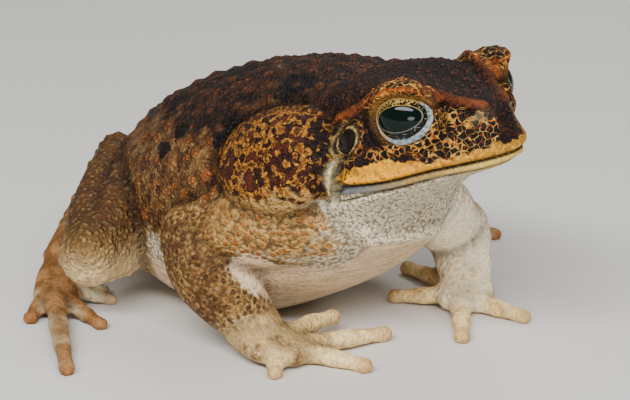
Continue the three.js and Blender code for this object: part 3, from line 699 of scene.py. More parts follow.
masks["lid"] = byEye * smooth(1.45, 1.05, opening) * (0.2 + 0.8 * above)
print("head shaped")

# gland border, folds
glandShare = np.full(len(points), 9.0)
glandHigh, glandLong = np.zeros(len(points)), np.zeros(len(points))
for name, s in both:
    rows = glandAxes(s)
    local = (points - np.array(gland["place"]) * (1, s, 1)) @ rows.T / np.array(gland["half"])
    share = np.linalg.norm(local, axis=1)
    glandHigh = np.where(share < glandShare, local[:, 1] * np.sign(rows[1][2]), glandHigh)
    glandLong = np.where(share < glandShare, local[:, 0], glandLong)
    glandShare = np.minimum(glandShare, share)
# the far side of the neck is drawn in
px, py, pz = points.T
tuck = bell(px - 29, 9) * smooth(8, 15, py) * smooth(46, 40, pz) * smooth(19, 24, pz) * (1 - upper)
points = points - relief["neckTuck"] * tuck[:, None] * np.array([0.5, 0.87, 0])
# no crease between throat and chest
px, py, pz = points.T
throat = bell(px - 30, 9) * smooth(15, 9, np.abs(py + 1)) * smooth(26, 29, pz) * smooth(41, 37, pz)
points = drape(points, edges, np.where(throat > 0.05, throat, 0) * (1 - upper), 120)
normals = pointNormals(points, tris)
notArm = 1 - isArm
points = points - normals * (relief["glandCrease"] * bell(glandShare - 1.17, 0.09) * notArm)[:, None]
masks["gland"] = smooth(1.16, 1.04, glandShare) * notArm * (glandShare < 1.3)
masks["glandEdge"], masks["glandHigh"] = glandShare, glandHigh
# the fold over the chest: its height over y
chestFold = keyed([
    (-32, 24.2), (-28, 23.8), (-23.6, 23.0), (-20, 24.4), (-16.5, 25.8), (-12.6, 27.2), (-6, 27), (0, 26.6),
    (8, 26), (14, 25),
])
px, py, pz = points.T
overFold = pz - chestFold(py)
onChest = smooth(1, 6, px) * (1 - isArm) * (1 - isDigit) * (pz < 40) * (np.abs(py) < 30)
chestRise = relief["chestRoll"] * bell(overFold - 1.6, 1.6)
chestRise -= relief["chestCrease"] * bell(overFold + 0.5, 0.6)
points = points + normals * (chestRise * onChest)[:, None]
px, py, pz = points.T
masks["smoothBelly"] = smooth(0.4, -0.8, overFold) * onChest + (1 - smooth(0, 6, px)) * smooth(18, 12, pz)

# warts: how many are tried, radii in mm, height as a share of the radius, room between two as a share of both
wartMake = {
    "seed": 7, "big": (190, (1.5, 2.6), 0.34, 0.95), "small": (900, (0.95, 1.6), 0.36, 0.92),
    "tiny": (900, (0.6, 1.0), 0.34, 0.98),
}
rng = np.random.default_rng(wartMake["seed"])
back, side, up, onHead = headRegion(points)
belowMiddle = pz - trunk["middle"](px)
trunkHere = (1 - onHead) * (1 - isArm) * (1 - isLeg) * (1 - isDigit) * (1 - smooth(1.35, 1.2, glandShare))
upperTrunk = trunkHere * smooth(-9, 0, belowMiddle)
headTop = onHead * smooth(7, 11, up - 0.2 * wide) * (1 - masks["lid"] * 0.6)
cheek = onHead * smooth(1.5, 4, lip) * smooth(21, 25, back) * (earShare > 1.35)
a, b, c = (points[tris[:, i]] for i in range(3))
area = np.bincount(tris.ravel(), np.repeat(np.linalg.norm(np.cross(b - a, c - a), axis=1), 3), len(points))
normals = pointNormals(points, tris)
wart, lift = np.zeros(len(points)), np.zeros(len(points))
taken = np.empty((0, 4))


def raiseWart(spot, radius, height):
    # a rounded cone height (1 - (d/r)^2)^1.6 over the distance d from spot
    global taken
    taken = np.vstack([taken, np.append(spot, radius)])
    ids = np.flatnonzero((np.abs(points - spot) < radius).all(1))
    distance = np.linalg.norm(points[ids] - spot, axis=1)
    shape = (1 - np.clip(distance / radius, 0, 1) ** 2) ** 1.6
    lift[ids] = np.maximum(lift[ids], shape * height * radius)
    wart[ids] = np.maximum(wart[ids], shape)


def sow(where, tries, size, height, room):
    # draws points by area and mask and drops those too near an earlier wart
    chance = where * area
    picks = rng.choice(len(points), tries, replace=False, p=chance / chance.sum())
    made = 0
    for pick, radius in zip(picks, rng.uniform(*size, tries)):
        gaps = np.linalg.norm(taken[:, :3] - points[pick], axis=1)
        if (gaps >= room * (radius + taken[:, 3])).all():
            raiseWart(points[pick], radius, height)
            made += 1
    print("warts:", made)


# the largest warts of the flank, x, y, z of the right side and radius; the left side has them a little askew
flankWarts = [
    (-7.6, -32.2, 40.3, 2.3), (-11.1, -33.3, 38.2, 1.8), (-13.5, -34.4, 34.7, 2.0), (-5.4, -34.7, 35.3, 2.0),
    (-3.7, -32.5, 36.7, 2.0), (1.5, -34.1, 36.1, 1.7), (-12.3, -32.8, 44.9, 2.1), (-19.3, -34.6, 33.9, 1.9),
    (-8.2, -27.0, 50.4, 2.2), (-15.0, -24.7, 52.4, 1.7), (-26, -31, 40, 2.1), (-32, -29, 44, 2.0),
]
for n, s in both:
    for x, y, z, radius in flankWarts:
        wanted = np.array([x + (s > 0) * 1.7, -s * y, z - (s > 0) * 0.8])
        raiseWart(points[np.linalg.norm(points - wanted, axis=1).argmin()], radius, wartMake["big"][2])
sow(np.clip(upperTrunk, 0, 1) ** 2, *wartMake["big"])
sow(np.clip(upperTrunk + 0.7 * isLeg, 0, 1), *wartMake["small"])
sow(np.clip(headTop + cheek + 0.5 * isLeg, 0, 1) ** 2, *wartMake["tiny"])
points = points + normals * lift[:, None]
points[:, 2] = np.maximum(points[:, 2], 0)
masks["wart"] = wart

# colour masks, most of them 0 to 1
back, side, up = headCoordinates(points)
lip = up - headLines["mouthUp"](back)
normals = pointNormals(points, tris)
px, py, pz = points.T
belowMiddle = pz - trunk["middle"](px)
paleTrunk = smooth(2, -10, belowMiddle - 9 * smooth(2, 22, px))
paleHead = smooth(-0.6, -3.0, lip)
# the tan of the arm runs out over the chest; the far arm is seen from its pale inner side
fade = np.maximum(smooth(16, 42, px + 0.25 * (32 - np.abs(py))),
                  0.85 * smooth(3.5, 0, overFold) * smooth(3, 8, px))
onBreast = smooth(-3, 3, px) * smooth(-0.5, 1.5, overFold) * smooth(41, 37, pz)
onBreast = onBreast * (1 - onHead) * (1 - handLike) * (py < 0)
limbAll = np.maximum.reduce([masks["arm"], isLeg, handLike, footLike])
inward = smooth(-0.6, 0.3, 0.6 * normals[:, 0] - 0.8 * normals[:, 1])
farArm = (py > 0) * np.maximum(np.maximum(fore, upper), 0.85 * handLike) * inward
masks["soft"] = melt(np.maximum(farArm, handLike), edges, 4)
pitRuns = [
    [(6.6, -32, 21, 1, 1), (9.5, -28.5, 18.5, 1, 1), (12, -24.5, 17.5, 1, 1), (14, -21, 18, 1, 1)],
    [(9.5, -28.5, 18.5, 1, 1), (6.5, -26, 16.8, 1, 1), (4, -23.5, 13.6, 1, 1)],
]
armpit = smooth(4.8, 3.4, limbNearness(points, pitRuns)[0])
masks["arm"] = np.maximum(masks["arm"], onBreast * (1 - fade)) * (1 - armpit)
pale = np.where(onHead > 0.5, paleHead, np.maximum(paleTrunk * (1 - limbAll), farArm))
pale = np.maximum(pale * (1 - onBreast) + fade * onBreast, armpit)
masks["pale"] = melt(np.clip(pale, 0, 1), edges, 8)
masks["breast"] = melt(onBreast, edges, 12)
masks["smoothBelly"] = np.maximum(masks["smoothBelly"], melt(armpit, edges, 3))
masks["legTop"] = melt(smooth(12, 28, pz) * isLeg, edges, 6)
underLeg = smooth(14, 0, pz - 9 * isLeg) + 0.6 * smooth(0.1, -0.7, normals[:, 2])
masks["light"] = melt(np.clip(underLeg * isLeg, 0, 1), edges, 6)
# mouth: its yellow edge's height over the mouth line, then lips, slit and folds
lipTop = keyed([
    (0, 2.8), (3, 3.2), (7, 2.5), (12, 2.6), (17, 3.7), (22, 5.0), (27, 4.2), (31, 3.0), (33.5, 2.2),
    (36, 1.2),
])
upperLip = smooth(0.0, 0.4, lip) * smooth(1.5, -1.7, lip - lipTop(back))
masks["lip"] = upperLip * smooth(33.6, 32.8, back) * onHead
lowStrip = smooth(0.2, -0.3, lip) * smooth(-1.9, -1.4, lip) * smooth(-0.1, 0.4, fold)
masks["lowerLip"] = lowStrip * smooth(33.4, 31.8, back) * onHead
masks["blueLip"] = masks["lowerLip"] * smooth(14, 30, back)
masks["lipBack"] = smooth(6, 26, back) * onHead
masks["corner"] = smooth(20, 32, back) * onHead
# the slit between the jaws and the fold under the lower lip, where the colour is darkened as painted shade
slit = bell(lip, 0.6) * smooth(34, 32.4, back)
underLip = 0.8 * bell(fold, 0.6) * smooth(5, 9, back) * smooth(36, 34, back)
masks["slit"] = np.maximum(slit, underLip) * onHead
masks["cornerFold"] = bell(behindCorner(back, up), 0.7) * smooth(-8, -5, up) * smooth(5, 2, up) * onHead
masks["chinTip"] = smooth(14, 3, back) * smooth(0.2, -0.4, lip) * smooth(-4, -2.4, lip) * onHead
masks["flank"] = smooth(29, 12, belowMiddle) * smooth(-72, -40, px)
# the gold net: before and under the eye, on the brow, round the ear
places = np.stack([back, np.abs(side), up], 1)
browShare = np.linalg.norm((places - head["brow"]) / head["browSize"], axis=1)
browNet = smooth(1.5, 1.2, browShare) * smooth(9.5, 11.5, up) * onHead
beforeEye = smooth(15.5, 13.5, back) * smooth(0.4, 1.8, back)
beforeEye = beforeEye * smooth(-0.3, 0.4, headLines["crestUp"](back) - 1.4 - up)
underEye = bell(back - 20.5, 5.0) * bell(lip - 6.4, 1.7)
onBrow = bell((opening - 1.75) / 1.0, 0.28) * above * byEye
roundEar = bell(earShare - 1.95, 0.5) * smooth(4.5, 2.0, fromEar[:, 0]) * (opening > 1.5)
cheekNet = onHead * smooth(1.6, 3.0, lip) * np.clip(beforeEye + 1.1 * underEye + 0.55 * roundEar, 0, 1)
masks["net"] = cheekNet + 0.9 * np.maximum(onBrow, 0.75 * browNet * (1 - masks["lid"]))
# the nostril's pit, painted black as the shade inside the opening
masks["nostril"] = bell(nostril, 1.0) * onHead
masks["swelling"] = bell(swelling, 0.9) * onHead * (wide > 2) * (1 - masks["nostril"])
crest = np.clip(bell(fromCrest, 0.95) + 0.9 * bell(opening - 1.5, 0.08) * above * byEye, 0, 1)
masks["crest"] = crest * onHead * (0.55 + 0.45 * smooth(9, 14, back))
masks["ear"] = smooth(1.12, 0.95, earShare) * earHere
outerRing = 0.7 * bell(earShare - 1.95, 0.1) * smooth(-0.5, 0.8, fromEar[:, 0])
masks["earRing"] = (bell(earShare - 1.3, 0.11) + outerRing) * earHere
masks["head"] = onHead
masks["hem"] = smooth(-0.55, -1.0, glandHigh) * smooth(-0.75, 0.0, glandLong)
masks["glandFront"] = smooth(0.5, 0.85, glandLong) * smooth(-0.7, -0.3, glandHigh)
# black blotches, x, y, z of the right side and radius; the same a little askew on the left
blots = [
    (-5.4, -26.4, 51.1, 4.2), (-21.2, -28, 47.4, 3.2), (3.8, -14.8, 60.9, 5.5), (-7.8, -28.3, 48.8, 3.2),
    (21.7, -16.4, 63.1, 5.5), (-25.3, -30.5, 42, 3), (-34, -20, 50, 4.5), (-48, -14, 44, 4.5),
    (-20, -9, 58, 5),
]
blot = np.full(len(points), -9.0)
for n, s in both:
    for x, y, z, radius in blots:
        spot = np.array([x + (s > 0) * 2.5, -s * y, z])
        blot = np.maximum(blot, radius - np.linalg.norm(points - spot, axis=1))
masks["blot"] = np.clip(blot / 4, -1, 1)
count = np.maximum(np.bincount(edges.ravel(), minlength=len(points)), 1)
evened = points.copy()
for step in range(8):
    evened = 0.5 * evened + 0.5 * neighbourMean(evened, edges, count)
# height of each point over its surroundings, 1 at 0.35 mm; it drives the painted shade in hollows and the
# painted light on heights
masks["proud"] = np.clip(((points - evened) * normals).sum(1) / 0.35, -1, 1)
storePoints(skinMesh, points)
for key, values in masks.items():
    storeValues(skinMesh, key, values)
skinMesh.polygons.foreach_set("use_smooth", np.ones(len(skinMesh.polygons), bool))
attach(skin, "root")
print("masks:", sorted(masks))


# materials: kinds of node by plain names, each with type, settings, inputs for values, and output
nodeKinds = {
    "place": ("TexCoord", {}, (), "Object"),
    "mask": ("Attribute", {}, (), "Fac"),
    "noise": ("TexNoise", {}, ("Vector", "Scale", "Detail"), "Fac"),
    "cells": ("TexVoronoi", {"feature": "F1"}, ("Vector", "Scale"), None),
    "borders": ("TexVoronoi", {"feature": "DISTANCE_TO_EDGE"}, ("Vector", "Scale"), "Distance"),
    "ramp": ("MapRange", {"interpolation_type": "SMOOTHSTEP"}, (0, 1, 2, 3, 4), 0),
    "line": ("MapRange", {}, (0, 1, 2, 3, 4), 0),
    "blend": ("Mix", {"data_type": "RGBA"}, (0, 6, 7), 2),
    "shade": ("Mix", {"data_type": "RGBA", "blend_type": "MULTIPLY"}, (0, 6, 7), 2),
    "between": ("Mix", {"data_type": "FLOAT"}, (0, 2, 3), 0),
    "split": ("SeparateColor", {}, (0,), None),
    "grey": ("CombineColor", {}, (0, 1, 2), 0),
    "push": ("VectorMath", {"operation": "MULTIPLY_ADD"}, (0, 1, 2), 0),
    "stretch": ("VectorMath", {"operation": "MULTIPLY"}, (0, 1), 0),
    "cloud": ("TexNoise", {}, ("Vector", "Scale", "Detail"), "Color"),
    "bump": ("Bump", {}, ("Height", "Strength", "Distance"), 0),
    **{name: ("Math", {"operation": operation}, (0, 1), 0) for name, operation in (
        ("plus", "ADD"), ("minus", "SUBTRACT"), ("times", "MULTIPLY"), ("over", "DIVIDE"),
        ("most", "MAXIMUM"), ("size", "ABSOLUTE"), ("power", "POWER"), ("root", "SQRT"),
    )},
}


def feed(tree, node, inputs):
    # gives each input of a node its value or its link
    for key, value in inputs.items():
        if isinstance(value, bpy.types.NodeSocket):
            tree.links.new(value, node.inputs[key])
        else:
            node.inputs[key].default_value = value


def addNode(tree, kind, *values, **settings):
    # one node with its settings and links; gives its output, or all of them where the kind names none
    nodeType, fixed, inputs, output = nodeKinds[kind]
    made = tree.nodes.new("ShaderNode" + nodeType)
    for key, value in (fixed | settings).items():
        setattr(made, key, value)
    feed(tree, made, dict(zip(inputs, values)))
    return made.outputs if output is None else made.outputs[output]


def material(name, finish, look):
    # a Principled shader fed with what finish(add, look) works out
    made = bpy.data.materials.new(name)
    made.use_nodes = True
    tree = made.node_tree
    tree.nodes.clear()
    shader = tree.nodes.new("ShaderNodeBsdfPrincipled")
    tree.links.new(shader.outputs[0], tree.nodes.new("ShaderNodeOutputMaterial").inputs[0])
    feed(tree, shader, finish(partial(addNode, tree), look))
    return made


def tonesOf(look):
    # the colours of a look, linear
    return {key: hexLinear(value) for key, value in look.items() if isinstance(value, str)}


skinLook = {
    # blot: the black of the blotches, also the painted shade of the nostril pit
    "backDark": "1a0f09", "back": "4a2815", "flank": "6f4723", "flankLight": "9c7440", "blot": "0b0705",
    "backTip": "5a3218", "flankTip": "96501f",
    "limbDark": "6a451f", "limb": "8f6a34", "limbTop": "c8a564", "limbLight": "cdb284", "legShade": "40260f",
    "limbSeam": "3a2211", "limbHeart": "300e08", "paleHeart": "a05a1a", "breast": "c49a5a",
    "belly": "f2e4c4", "innerArm": "f4e8c8", "bellySeam": "6c5636", "bellyPlain": "dcc09c",
    # bellyStreak: the painted shade of the belly's fine wrinkles
    "bellyStreak": "a5805c", "chin": "c4a24e",
    "headDark": "0e0705", "headNet": "b8923c", "cheekTip": "5c2412", "crest": "9a4a10", "swelling": "67624f",
    "lidSkin": "8f6320", "ear": "1d120c", "earRing": "b09a5c",
    "lip": "d8920a", "lipFront": "a8761e", "lipPatch": "8f5c18", "lipBright": "f0b838", "lipDot": "321406",
    "lowerLip": "8f7440", "cornerFold": "dcc896", "lowerLipBack": "565c5e",
    "gland": "280c06", "glandMid": "4c1e0b", "glandGold": "b87f24", "glandRust": "7a4512",
    "glandBlack": "0e0604", "glandHem": "b08c50",
    "digit": "d8bc84", "foot": "8a6238", "web": "d8cfa8", "tip": "8a5a30",
    # skin in air: typical 0.5 and 1.4; the film's shine is thin
    "roughness": 0.52, "ior": 1.4, "specular": 0.28, "bumpMm": 0.6,
    # sizes in mm: granules of body and limbs, the finest ones, the net's meshes, blotches and patches,
    # specks, wandering borders, gland islands, belly streaks; stirs as (size, amount)
    "granuleMm": 1.1, "limbGranuleMm": 1.5, "fineMm": 0.72, "netMm": 1.5, "blotchMm": 9, "patchMm": 4.0,
    "speckMm": 0.9, "contourMm": 2.6, "islandMm": 2.1, "streakMm": 1.6, "stirMm": ((2.5, 0.7), (2.2, 1.8)),
}


def toadSkin(add, look):
    # amphibian skin, a thin horny film over glands and granules: damp, so each granule carries a small
    # highlight
    coords = add("place")
    mask = {name: add("mask", attribute_name=name) for name in sorted(masks)}
    tone = tonesOf(look)
    perMm = 1000.0

    def painted(base, *layers):
        # lays tones over the base one after another, each by its amount
        for amount, name in layers:
            base = add("blend", amount, base, tone[name])
        return base

    stirs = []
    for size, amount in look["stirMm"]:
        # coordinates pushed about by a soft noise, so that nets and cells run unevenly
        step = amount / perMm
        centred = add("push", coords, (1, 1, 1), (-step / 2,) * 3)
        stirs.append(add("push", add("cloud", coords, perMm / size, 1.0), (step,) * 3, centred))
    gentle, strong = stirs
    blotch, patch = (add("noise", coords, perMm / look[size], 3.0) for size in ("blotchMm", "patchMm"))
    speck = add("noise", coords, perMm / look["speckMm"], 2.0)
    granule = add("cells", gentle, perMm / look["granuleMm"])
    coarse = add("cells", gentle, perMm / look["limbGranuleMm"])
    coarseTop = add("ramp", coarse["Distance"], 0.25, 0.62, 1.0, 0.0)
    ragged = add("plus", coarse["Distance"], add("times", add("minus", speck, 0.5), 0.5))
    coarseCore = add("ramp", ragged, 0.3, 0.5, 1.0, 0.0)
    coarseLuck = add("split", coarse["Color"])
    top = add("ramp", granule["Distance"], 0.25, 0.62, 1.0, 0.0)            # 1 on a granule, 0 in the seams
    luck = add("split", granule["Color"])
    fine = add("cells", gentle, perMm / look["fineMm"])
    fineTop = add("ramp", fine["Distance"], 0.2, 0.6, 1.0, 0.0)
    fineLuck = add("split", fine["Color"])
    net = add("borders", strong, perMm / look["netMm"])
    netCell = add("cells", strong, perMm / look["netMm"])
    netLuck = add("split", netCell["Color"])
    contour = add("noise", strong, perMm / look["contourMm"], 1.5)
    wartHere, proud, pale, gland = mask["wart"], mask["proud"], mask["pale"], mask["gland"]
    arm, leg, isHead = mask["arm"], mask["leg"], mask["head"]
    limbs = add("most", arm, leg)
    uneven = add("minus", patch, 0.5)

    # back and flank: dark above, ochre lower down, brown wart tips, broken black blotches
    lowness = add("plus", mask["flank"], add("times", add("minus", blotch, 0.5), 1.8))
    back = add("blend", add("ramp", patch, 0.42, 0.60), tone["backDark"], tone["back"])
    side = painted(
        tone["flank"],
        (add("ramp", patch, 0.40, 0.62), "flankLight"),
        (add("times", add("ramp", contour, 0.45, 0.38), 0.8), "back"),
    )
    back = add("blend", add("ramp", lowness, 0.15, 0.75), back, side)
    back = add("blend", add("times", top, add("ramp", luck[2], 0.3, 1.0, 0.0, 0.45)), back, tone["backTip"])
    tip = add("blend", mask["flank"], tone["backTip"], tone["flankTip"])
    back = add("blend", add("times", add("ramp", wartHere, 0.2, 0.75),
                            add("ramp", luck[1], 0.0, 0.6, 0.35, 0.85)), back, tip)
    black = add("plus", mask["blot"], add("times", uneven, 2.2))
    back = painted(
        back,
        (add("times", add("ramp", black, 0.05, 0.3), add("ramp", wartHere, 0.5, 0.9, 1.0, 0.3)), "blot"),
        (add("times", add("minus", 1.0, top), 0.5), "backDark"),
    )
    # limbs: tan granules between thin dark seams
    limb = painted(
        tone["limbDark"],
        (add("ramp", add("plus", blotch, add("times", uneven, 0.5)), 0.42, 0.62), "limb"),
        (add("times", mask["legTop"], add("ramp", blotch, 0.4, 0.6, 0.65, 1.0)), "legShade"),
        (add("most", mask["light"], add("ramp", pale, 0.0, 0.6)), "limbLight"),
        (add("times", mask["breast"], 0.7), "breast"),
    )
    topShare = add("times", add("ramp", coarseLuck[2], 0.0, 1.0, 0.3, 0.8),
                   add("ramp", mask["legTop"], 0.0, 1.0, 1.0, 0.3))
    limb = painted(
        limb,
        (add("times", coarseTop, topShare), "limbTop"),
        (add("times", add("ramp", coarse["Distance"], 0.5, 0.75),
             add("ramp", add("most", mask["light"], leg), 0.0, 1.0, 0.8, 0.3)), "limbSeam"),
    )
    colour = add("blend", add("ramp", limbs, 0.1, 0.7), back, limb)
    # throat, chest and belly: cream granules, smooth below the chest fold with darker streaks painted as the
    # shade of fine wrinkles
    bead = add("between", isHead, granule["Distance"], fine["Distance"])
    belly = painted(
        tone["belly"],
        (add("times", add("ramp", bead, 0.4, 0.74, 0.0, 0.85),
             add("ramp", mask["soft"], 0.0, 1.0, 1.0, 0.25)), "bellySeam"),
        (add("times", mask["soft"], add("ramp", patch, 0.4, 0.65, 0.9, 0.35)), "innerArm"),
    )
    # streaks of painted shade for the fine horizontal wrinkles of the belly
    flattened = add("stretch", coords, (0.3, 0.3, 2.4))
    streak = add("ramp", add("noise", flattened, perMm / look["streakMm"], 2.0), 0.45, 0.7, 0.0, 0.6)
    belly = add("blend", mask["smoothBelly"], belly,
                add("blend", streak, tone["bellyPlain"], tone["bellyStreak"]))
    belly = add("blend", add("times", mask["chinTip"], 0.85), belly, tone["chin"])
    edge = add("ramp", add("plus", pale, add("times", uneven, 1.1)), 0.15, 0.85)
    colour = add("blend", edge, colour, belly)
    # hearts of the limb granules: dark red-brown, orange where the skin turns pale
    heartTone = add("blend", add("most", add("ramp", pale, 0.1, 0.7), add("times", mask["breast"], 0.8)),
                    tone["limbHeart"], tone["paleHeart"])
    heart = add("times", add("times", coarseCore, add("ramp", coarseLuck[0], 0.0, 0.35, 0.35, 1.0)),
                add("ramp", limbs, 0.2, 0.8, 0.0, 0.9))
    heart = add("times", heart, add("times", add("ramp", pale, 0.4, 1.0, 1.0, 0.25),
                                    add("ramp", mask["light"], 0.0, 0.8, 1.0, 0.3)))
    colour = add("blend", add("times", heart, add("ramp", leg, 0.2, 0.9, 1.0, 0.5)), colour, heartTone)
    # head: near black, red-brown granules, a gold net before the eye
    headTone = painted(
        tone["headDark"],
        (add("times", fineTop, add("ramp", fineLuck[0], 0.5, 0.8, 0.1, 0.9)), "cheekTip"),
        (add("times", add("ramp", wartHere, 0.3, 0.8), 0.6), "backTip"),
        (add("times", add("ramp", patch, 0.54, 0.68), 0.4), "back"),
    )
    headEdge = add("ramp", add("plus", isHead, uneven), 0.35, 0.65)
    colour = add("blend", add("times", headEdge, add("minus", 1.0, edge)), colour, headTone)
    colour = add("blend", add("times", mask["lid"], 0.7), colour, tone["lidSkin"])
    # the net: cell borders whose width wanders, black inside, some cells with a rust heart
    inNet = add("ramp", add("plus", mask["net"], add("times", uneven, 0.6)), 0.3, 0.6)
    colour = add("blend", add("times", inNet, add("ramp", net, 0.12, 0.2)), colour, tone["headDark"])
    netHeart = add("times", add("ramp", netCell["Distance"], 0.16, 0.26, 1.0, 0.0),
                   add("ramp", netLuck[0], 0.55, 0.6))
    colour = add("blend", add("times", add("times", netHeart, inNet), 0.8), colour, tone["cheekTip"])
    wander = add("minus", net, add("ramp", contour, 0.38, 0.62, 0.0, 0.1))
    netLine = add("times", add("ramp", wander, 0.0, 0.05, 1.0, 0.0), inNet)
    colour = add("blend", netLine, colour, add("blend", add("ramp", speck, 0.35, 0.65), tone["crest"],
                                               tone["headNet"]))
    # then the crest, the swelling round the nostril, and the nostril's pit painted black as shade
    colour = painted(
        colour,
        (add("times", mask["crest"], add("ramp", patch, 0.35, 0.55, 0.5, 1.0)), "crest"),
        (add("times", mask["swelling"], 0.65), "swelling"),
        (mask["nostril"], "blot"),
    )
    # parotoid gland: mahogany heart, gold islands ringed in black towards the rim, pale hem below
    island = add("plus", add("noise", strong, perMm / look["islandMm"], 5.0),
                 add("ramp", mask["glandEdge"], 0.35, 1.0, -0.05, 0.065))
    island = add("plus", island, add("times", mask["glandHigh"], 0.03))
    island = add("minus", island, add("times", mask["glandFront"], 0.05))
    glandTone = painted(
        tone["gland"],
        (add("ramp", patch, 0.42, 0.6), "glandMid"),
        (add("times", add("ramp", island, 0.50, 0.55), 0.85), "glandBlack"),
    )
    goldTone = add("blend", add("ramp", speck, 0.35, 0.62), tone["glandRust"], tone["glandGold"])
    glandTone = add("blend", add("ramp", island, 0.56, 0.585), glandTone, goldTone)
    glandTone = painted(
        glandTone,
        (add("times", add("ramp", island, 0.59, 0.64), add("ramp", fine["Distance"], 0.2, 0.5, 0.95, 0.6)),
         "glandRust"),
        (add("times", add("ramp", island, 0.67, 0.7), 0.8), "glandBlack"),
    )
    hem = add("ramp", add("plus", mask["hem"], add("times", add("minus", contour, 0.5), 2.2)), 0.35, 0.75)
    glandTone = painted(
        glandTone,
        (add("times", hem, add("ramp", granule["Distance"], 0.15, 0.4, 0.1, 0.85)), "glandHem"),
        (add("times", mask["glandFront"], add("ramp", island, 0.5, 0.56, 0.85, 0.2)), "glandBlack"),
    )
    colour = add("blend", gland, colour, glandTone)
    # lips, ear, hands and feet
    lipTone = painted(
        tone["lipFront"],
        (add("ramp", add("plus", mask["lipBack"], uneven), 0.0, 0.6), "lip"),
        (add("times", add("ramp", contour, 0.50, 0.6), 0.7), "lipPatch"),
        (add("ramp", speck, 0.5, 0.7, 0.0, 0.5), "lipBright"),
    )
    lipDot = add("times", add("ramp", granule["Distance"], 0.22, 0.4, 1.0, 0.0), mask["corner"])
    lipTone = add("blend", lipDot, lipTone, tone["lipDot"])
    lipHere = add("plus", mask["lip"], add("times", add("minus", contour, 0.5), 1.7))
    colour = add("blend", add("times", add("ramp", lipHere, 0.4, 0.55), add("ramp", mask["lip"], 0.02, 0.1)),
                 colour, lipTone)
    colour = add("blend", mask["lowerLip"], colour,
                 add("blend", mask["chinTip"], tone["lowerLip"], tone["chin"]))
    colour = painted(
        colour,
        (mask["blueLip"], "lowerLipBack"),
        (add("times", mask["cornerFold"], 0.9), "cornerFold"),
        (add("times", mask["earRing"], add("ramp", patch, 0.38, 0.55, 0.2, 0.9)), "earRing"),
        (add("times", mask["ear"], 0.95), "ear"),
    )
    digit = add("blend", add("ramp", patch, 0.48, 0.68, 0.0, 0.55), tone["digit"], tone["limb"])
    colour = add("blend", add("ramp", add("plus", mask["digit"], add("times", uneven, 0.7)), 0.2, 0.8),
                 colour, digit)
    foot = painted(
        tone["limbDark"],
        (add("ramp", patch, 0.38, 0.62), "foot"),
        (add("times", mask["web"], 0.85), "web"),
    )
    colour = add("blend", add("ramp", add("plus", mask["foot"], add("times", uneven, 0.7)), 0.2, 0.8),
                 colour, foot)
    colour = add("blend", add("times", mask["tip"], 0.5), colour, tone["tip"])
    # painted shade in hollows and painted light on heights, painted shade in the mouth slit and the fold
    # under the lower lip, a fine unevenness over all
    shade = add("times", add("ramp", proud, -0.9, 0.7, 0.4, 1.25), add("ramp", speck, 0.3, 0.7, 0.85, 1.15))
    shade = add("times", shade, add("ramp", mask["slit"], 0.5, 1.0, 1.0, 0.18))
    grey = add("grey", shade, shade, shade)
    colour = add("shade", 1.0, colour, grey)

    # relief: granules on body and limbs, finer on the head, low on lips, ear and the smooth belly, lower on
    # the far arm's inner side, the hands and the legs' undersides
    bodyGrain = add("plus", top, add("times", fineTop, 0.3))
    headGrain = add("plus", add("times", fineTop, 0.6), add("times", top, 0.15))
    limbGrain = add("plus", add("times", coarseTop, 1.2), add("times", fineTop, 0.3))
    height = add("between", limbs, bodyGrain, limbGrain)
    height = add("between", isHead, height, headGrain)
    plain = add("most", add("most", mask["lip"], mask["lowerLip"]),
                add("most", mask["ear"], mask["smoothBelly"]))
    plain = add("most", plain, add("times", add("most", mask["soft"], add("times", mask["light"], 0.7)), 0.8))
    height = add("times", height, add("ramp", plain, 0.0, 1.0, 1.0, 0.25))
    rough = add("ramp", height, 0.0, 1.2, look["roughness"] + 0.15, look["roughness"] - 0.12)
    bump = add("bump", height, 1.0, look["bumpMm"] / perMm)
    return {"Base Color": colour, "Normal": bump, "Roughness": rough, "IOR": look["ior"],
            "Specular IOR Level": look["specular"]}


skin.data.materials.clear()
skin.data.materials.append(material("granular_toad_skin", toadSkin, skinLook))
flesh = ["head", "lower_jaw", "torso"]
for name, s in both:
    flesh += [f"{name}_{part}" for part in ("tympanum", "parotoid", "upper_arm", "forearm", "hand", "thigh",
                                            "shank", "tarsus", "foot")]
    flesh += [f"{name}_finger_{i}" for i in (1, 2, 3, 4)]
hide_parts(*flesh)
print("skin coloured")

# eyes
eyeLook = {
    "pupil": "04110e", "iris": "0f0d0a", "gold": "b8944a", "silver": "8f9688",
    "pupilHalf": (0.76, 0.43), "fleckMm": 0.4,       # pupil's half length and height in eyeball radii
    "roughness": 0.05, "ior": 1.38, "specular": 0.3,
}


def wetEye(add, look):
    # a wet cornea over a dark iris with gold flecks: near-mirror gloss, colour only at the iris
    tone = tonesOf(look)
    long, high = (add("mask", attribute_name=name) for name in ("long", "high"))
    # 1 on the pupil's edge: sqrt((long / half length)^2 + (high / half height)^2)
    squares = [add("power", add("size", add("over", value, half)), 2.0)
               for value, half in zip((long, high), look["pupilHalf"])]
    share = add("root", add("plus", *squares))
    fleck = add("noise", add("place"), 1000 / look["fleckMm"], 3.0)
    many = add("line", high, 0.2, 0.55, 0.62, 0.49)
    bright = add("blend", add("line", high, -0.1, 0.4), tone["silver"], tone["gold"])
    iris = add("blend", add("line", add("minus", fleck, many), 0.0, 0.06), tone["iris"], bright)
    colour = add("blend", add("line", share, 1.0, 1.04), tone["pupil"], iris)
    ring = add("line", add("size", add("minus", share, 1.03)), 0.01, 0.035, 0.55, 0.0)
    colour = add("blend", ring, colour, bright)
    return {"Base Color": colour, "Roughness": look["roughness"], "IOR": look["ior"],
            "Specular IOR Level": look["specular"]}


edgeLook = {"dark": "454e52", "silver": "8d999c", "brown": "8a6d3c", "spotMm": 0.7, "roughness": 0.3}
lidEdge = {"thick": 0.36, "around": 120, "section": 16}


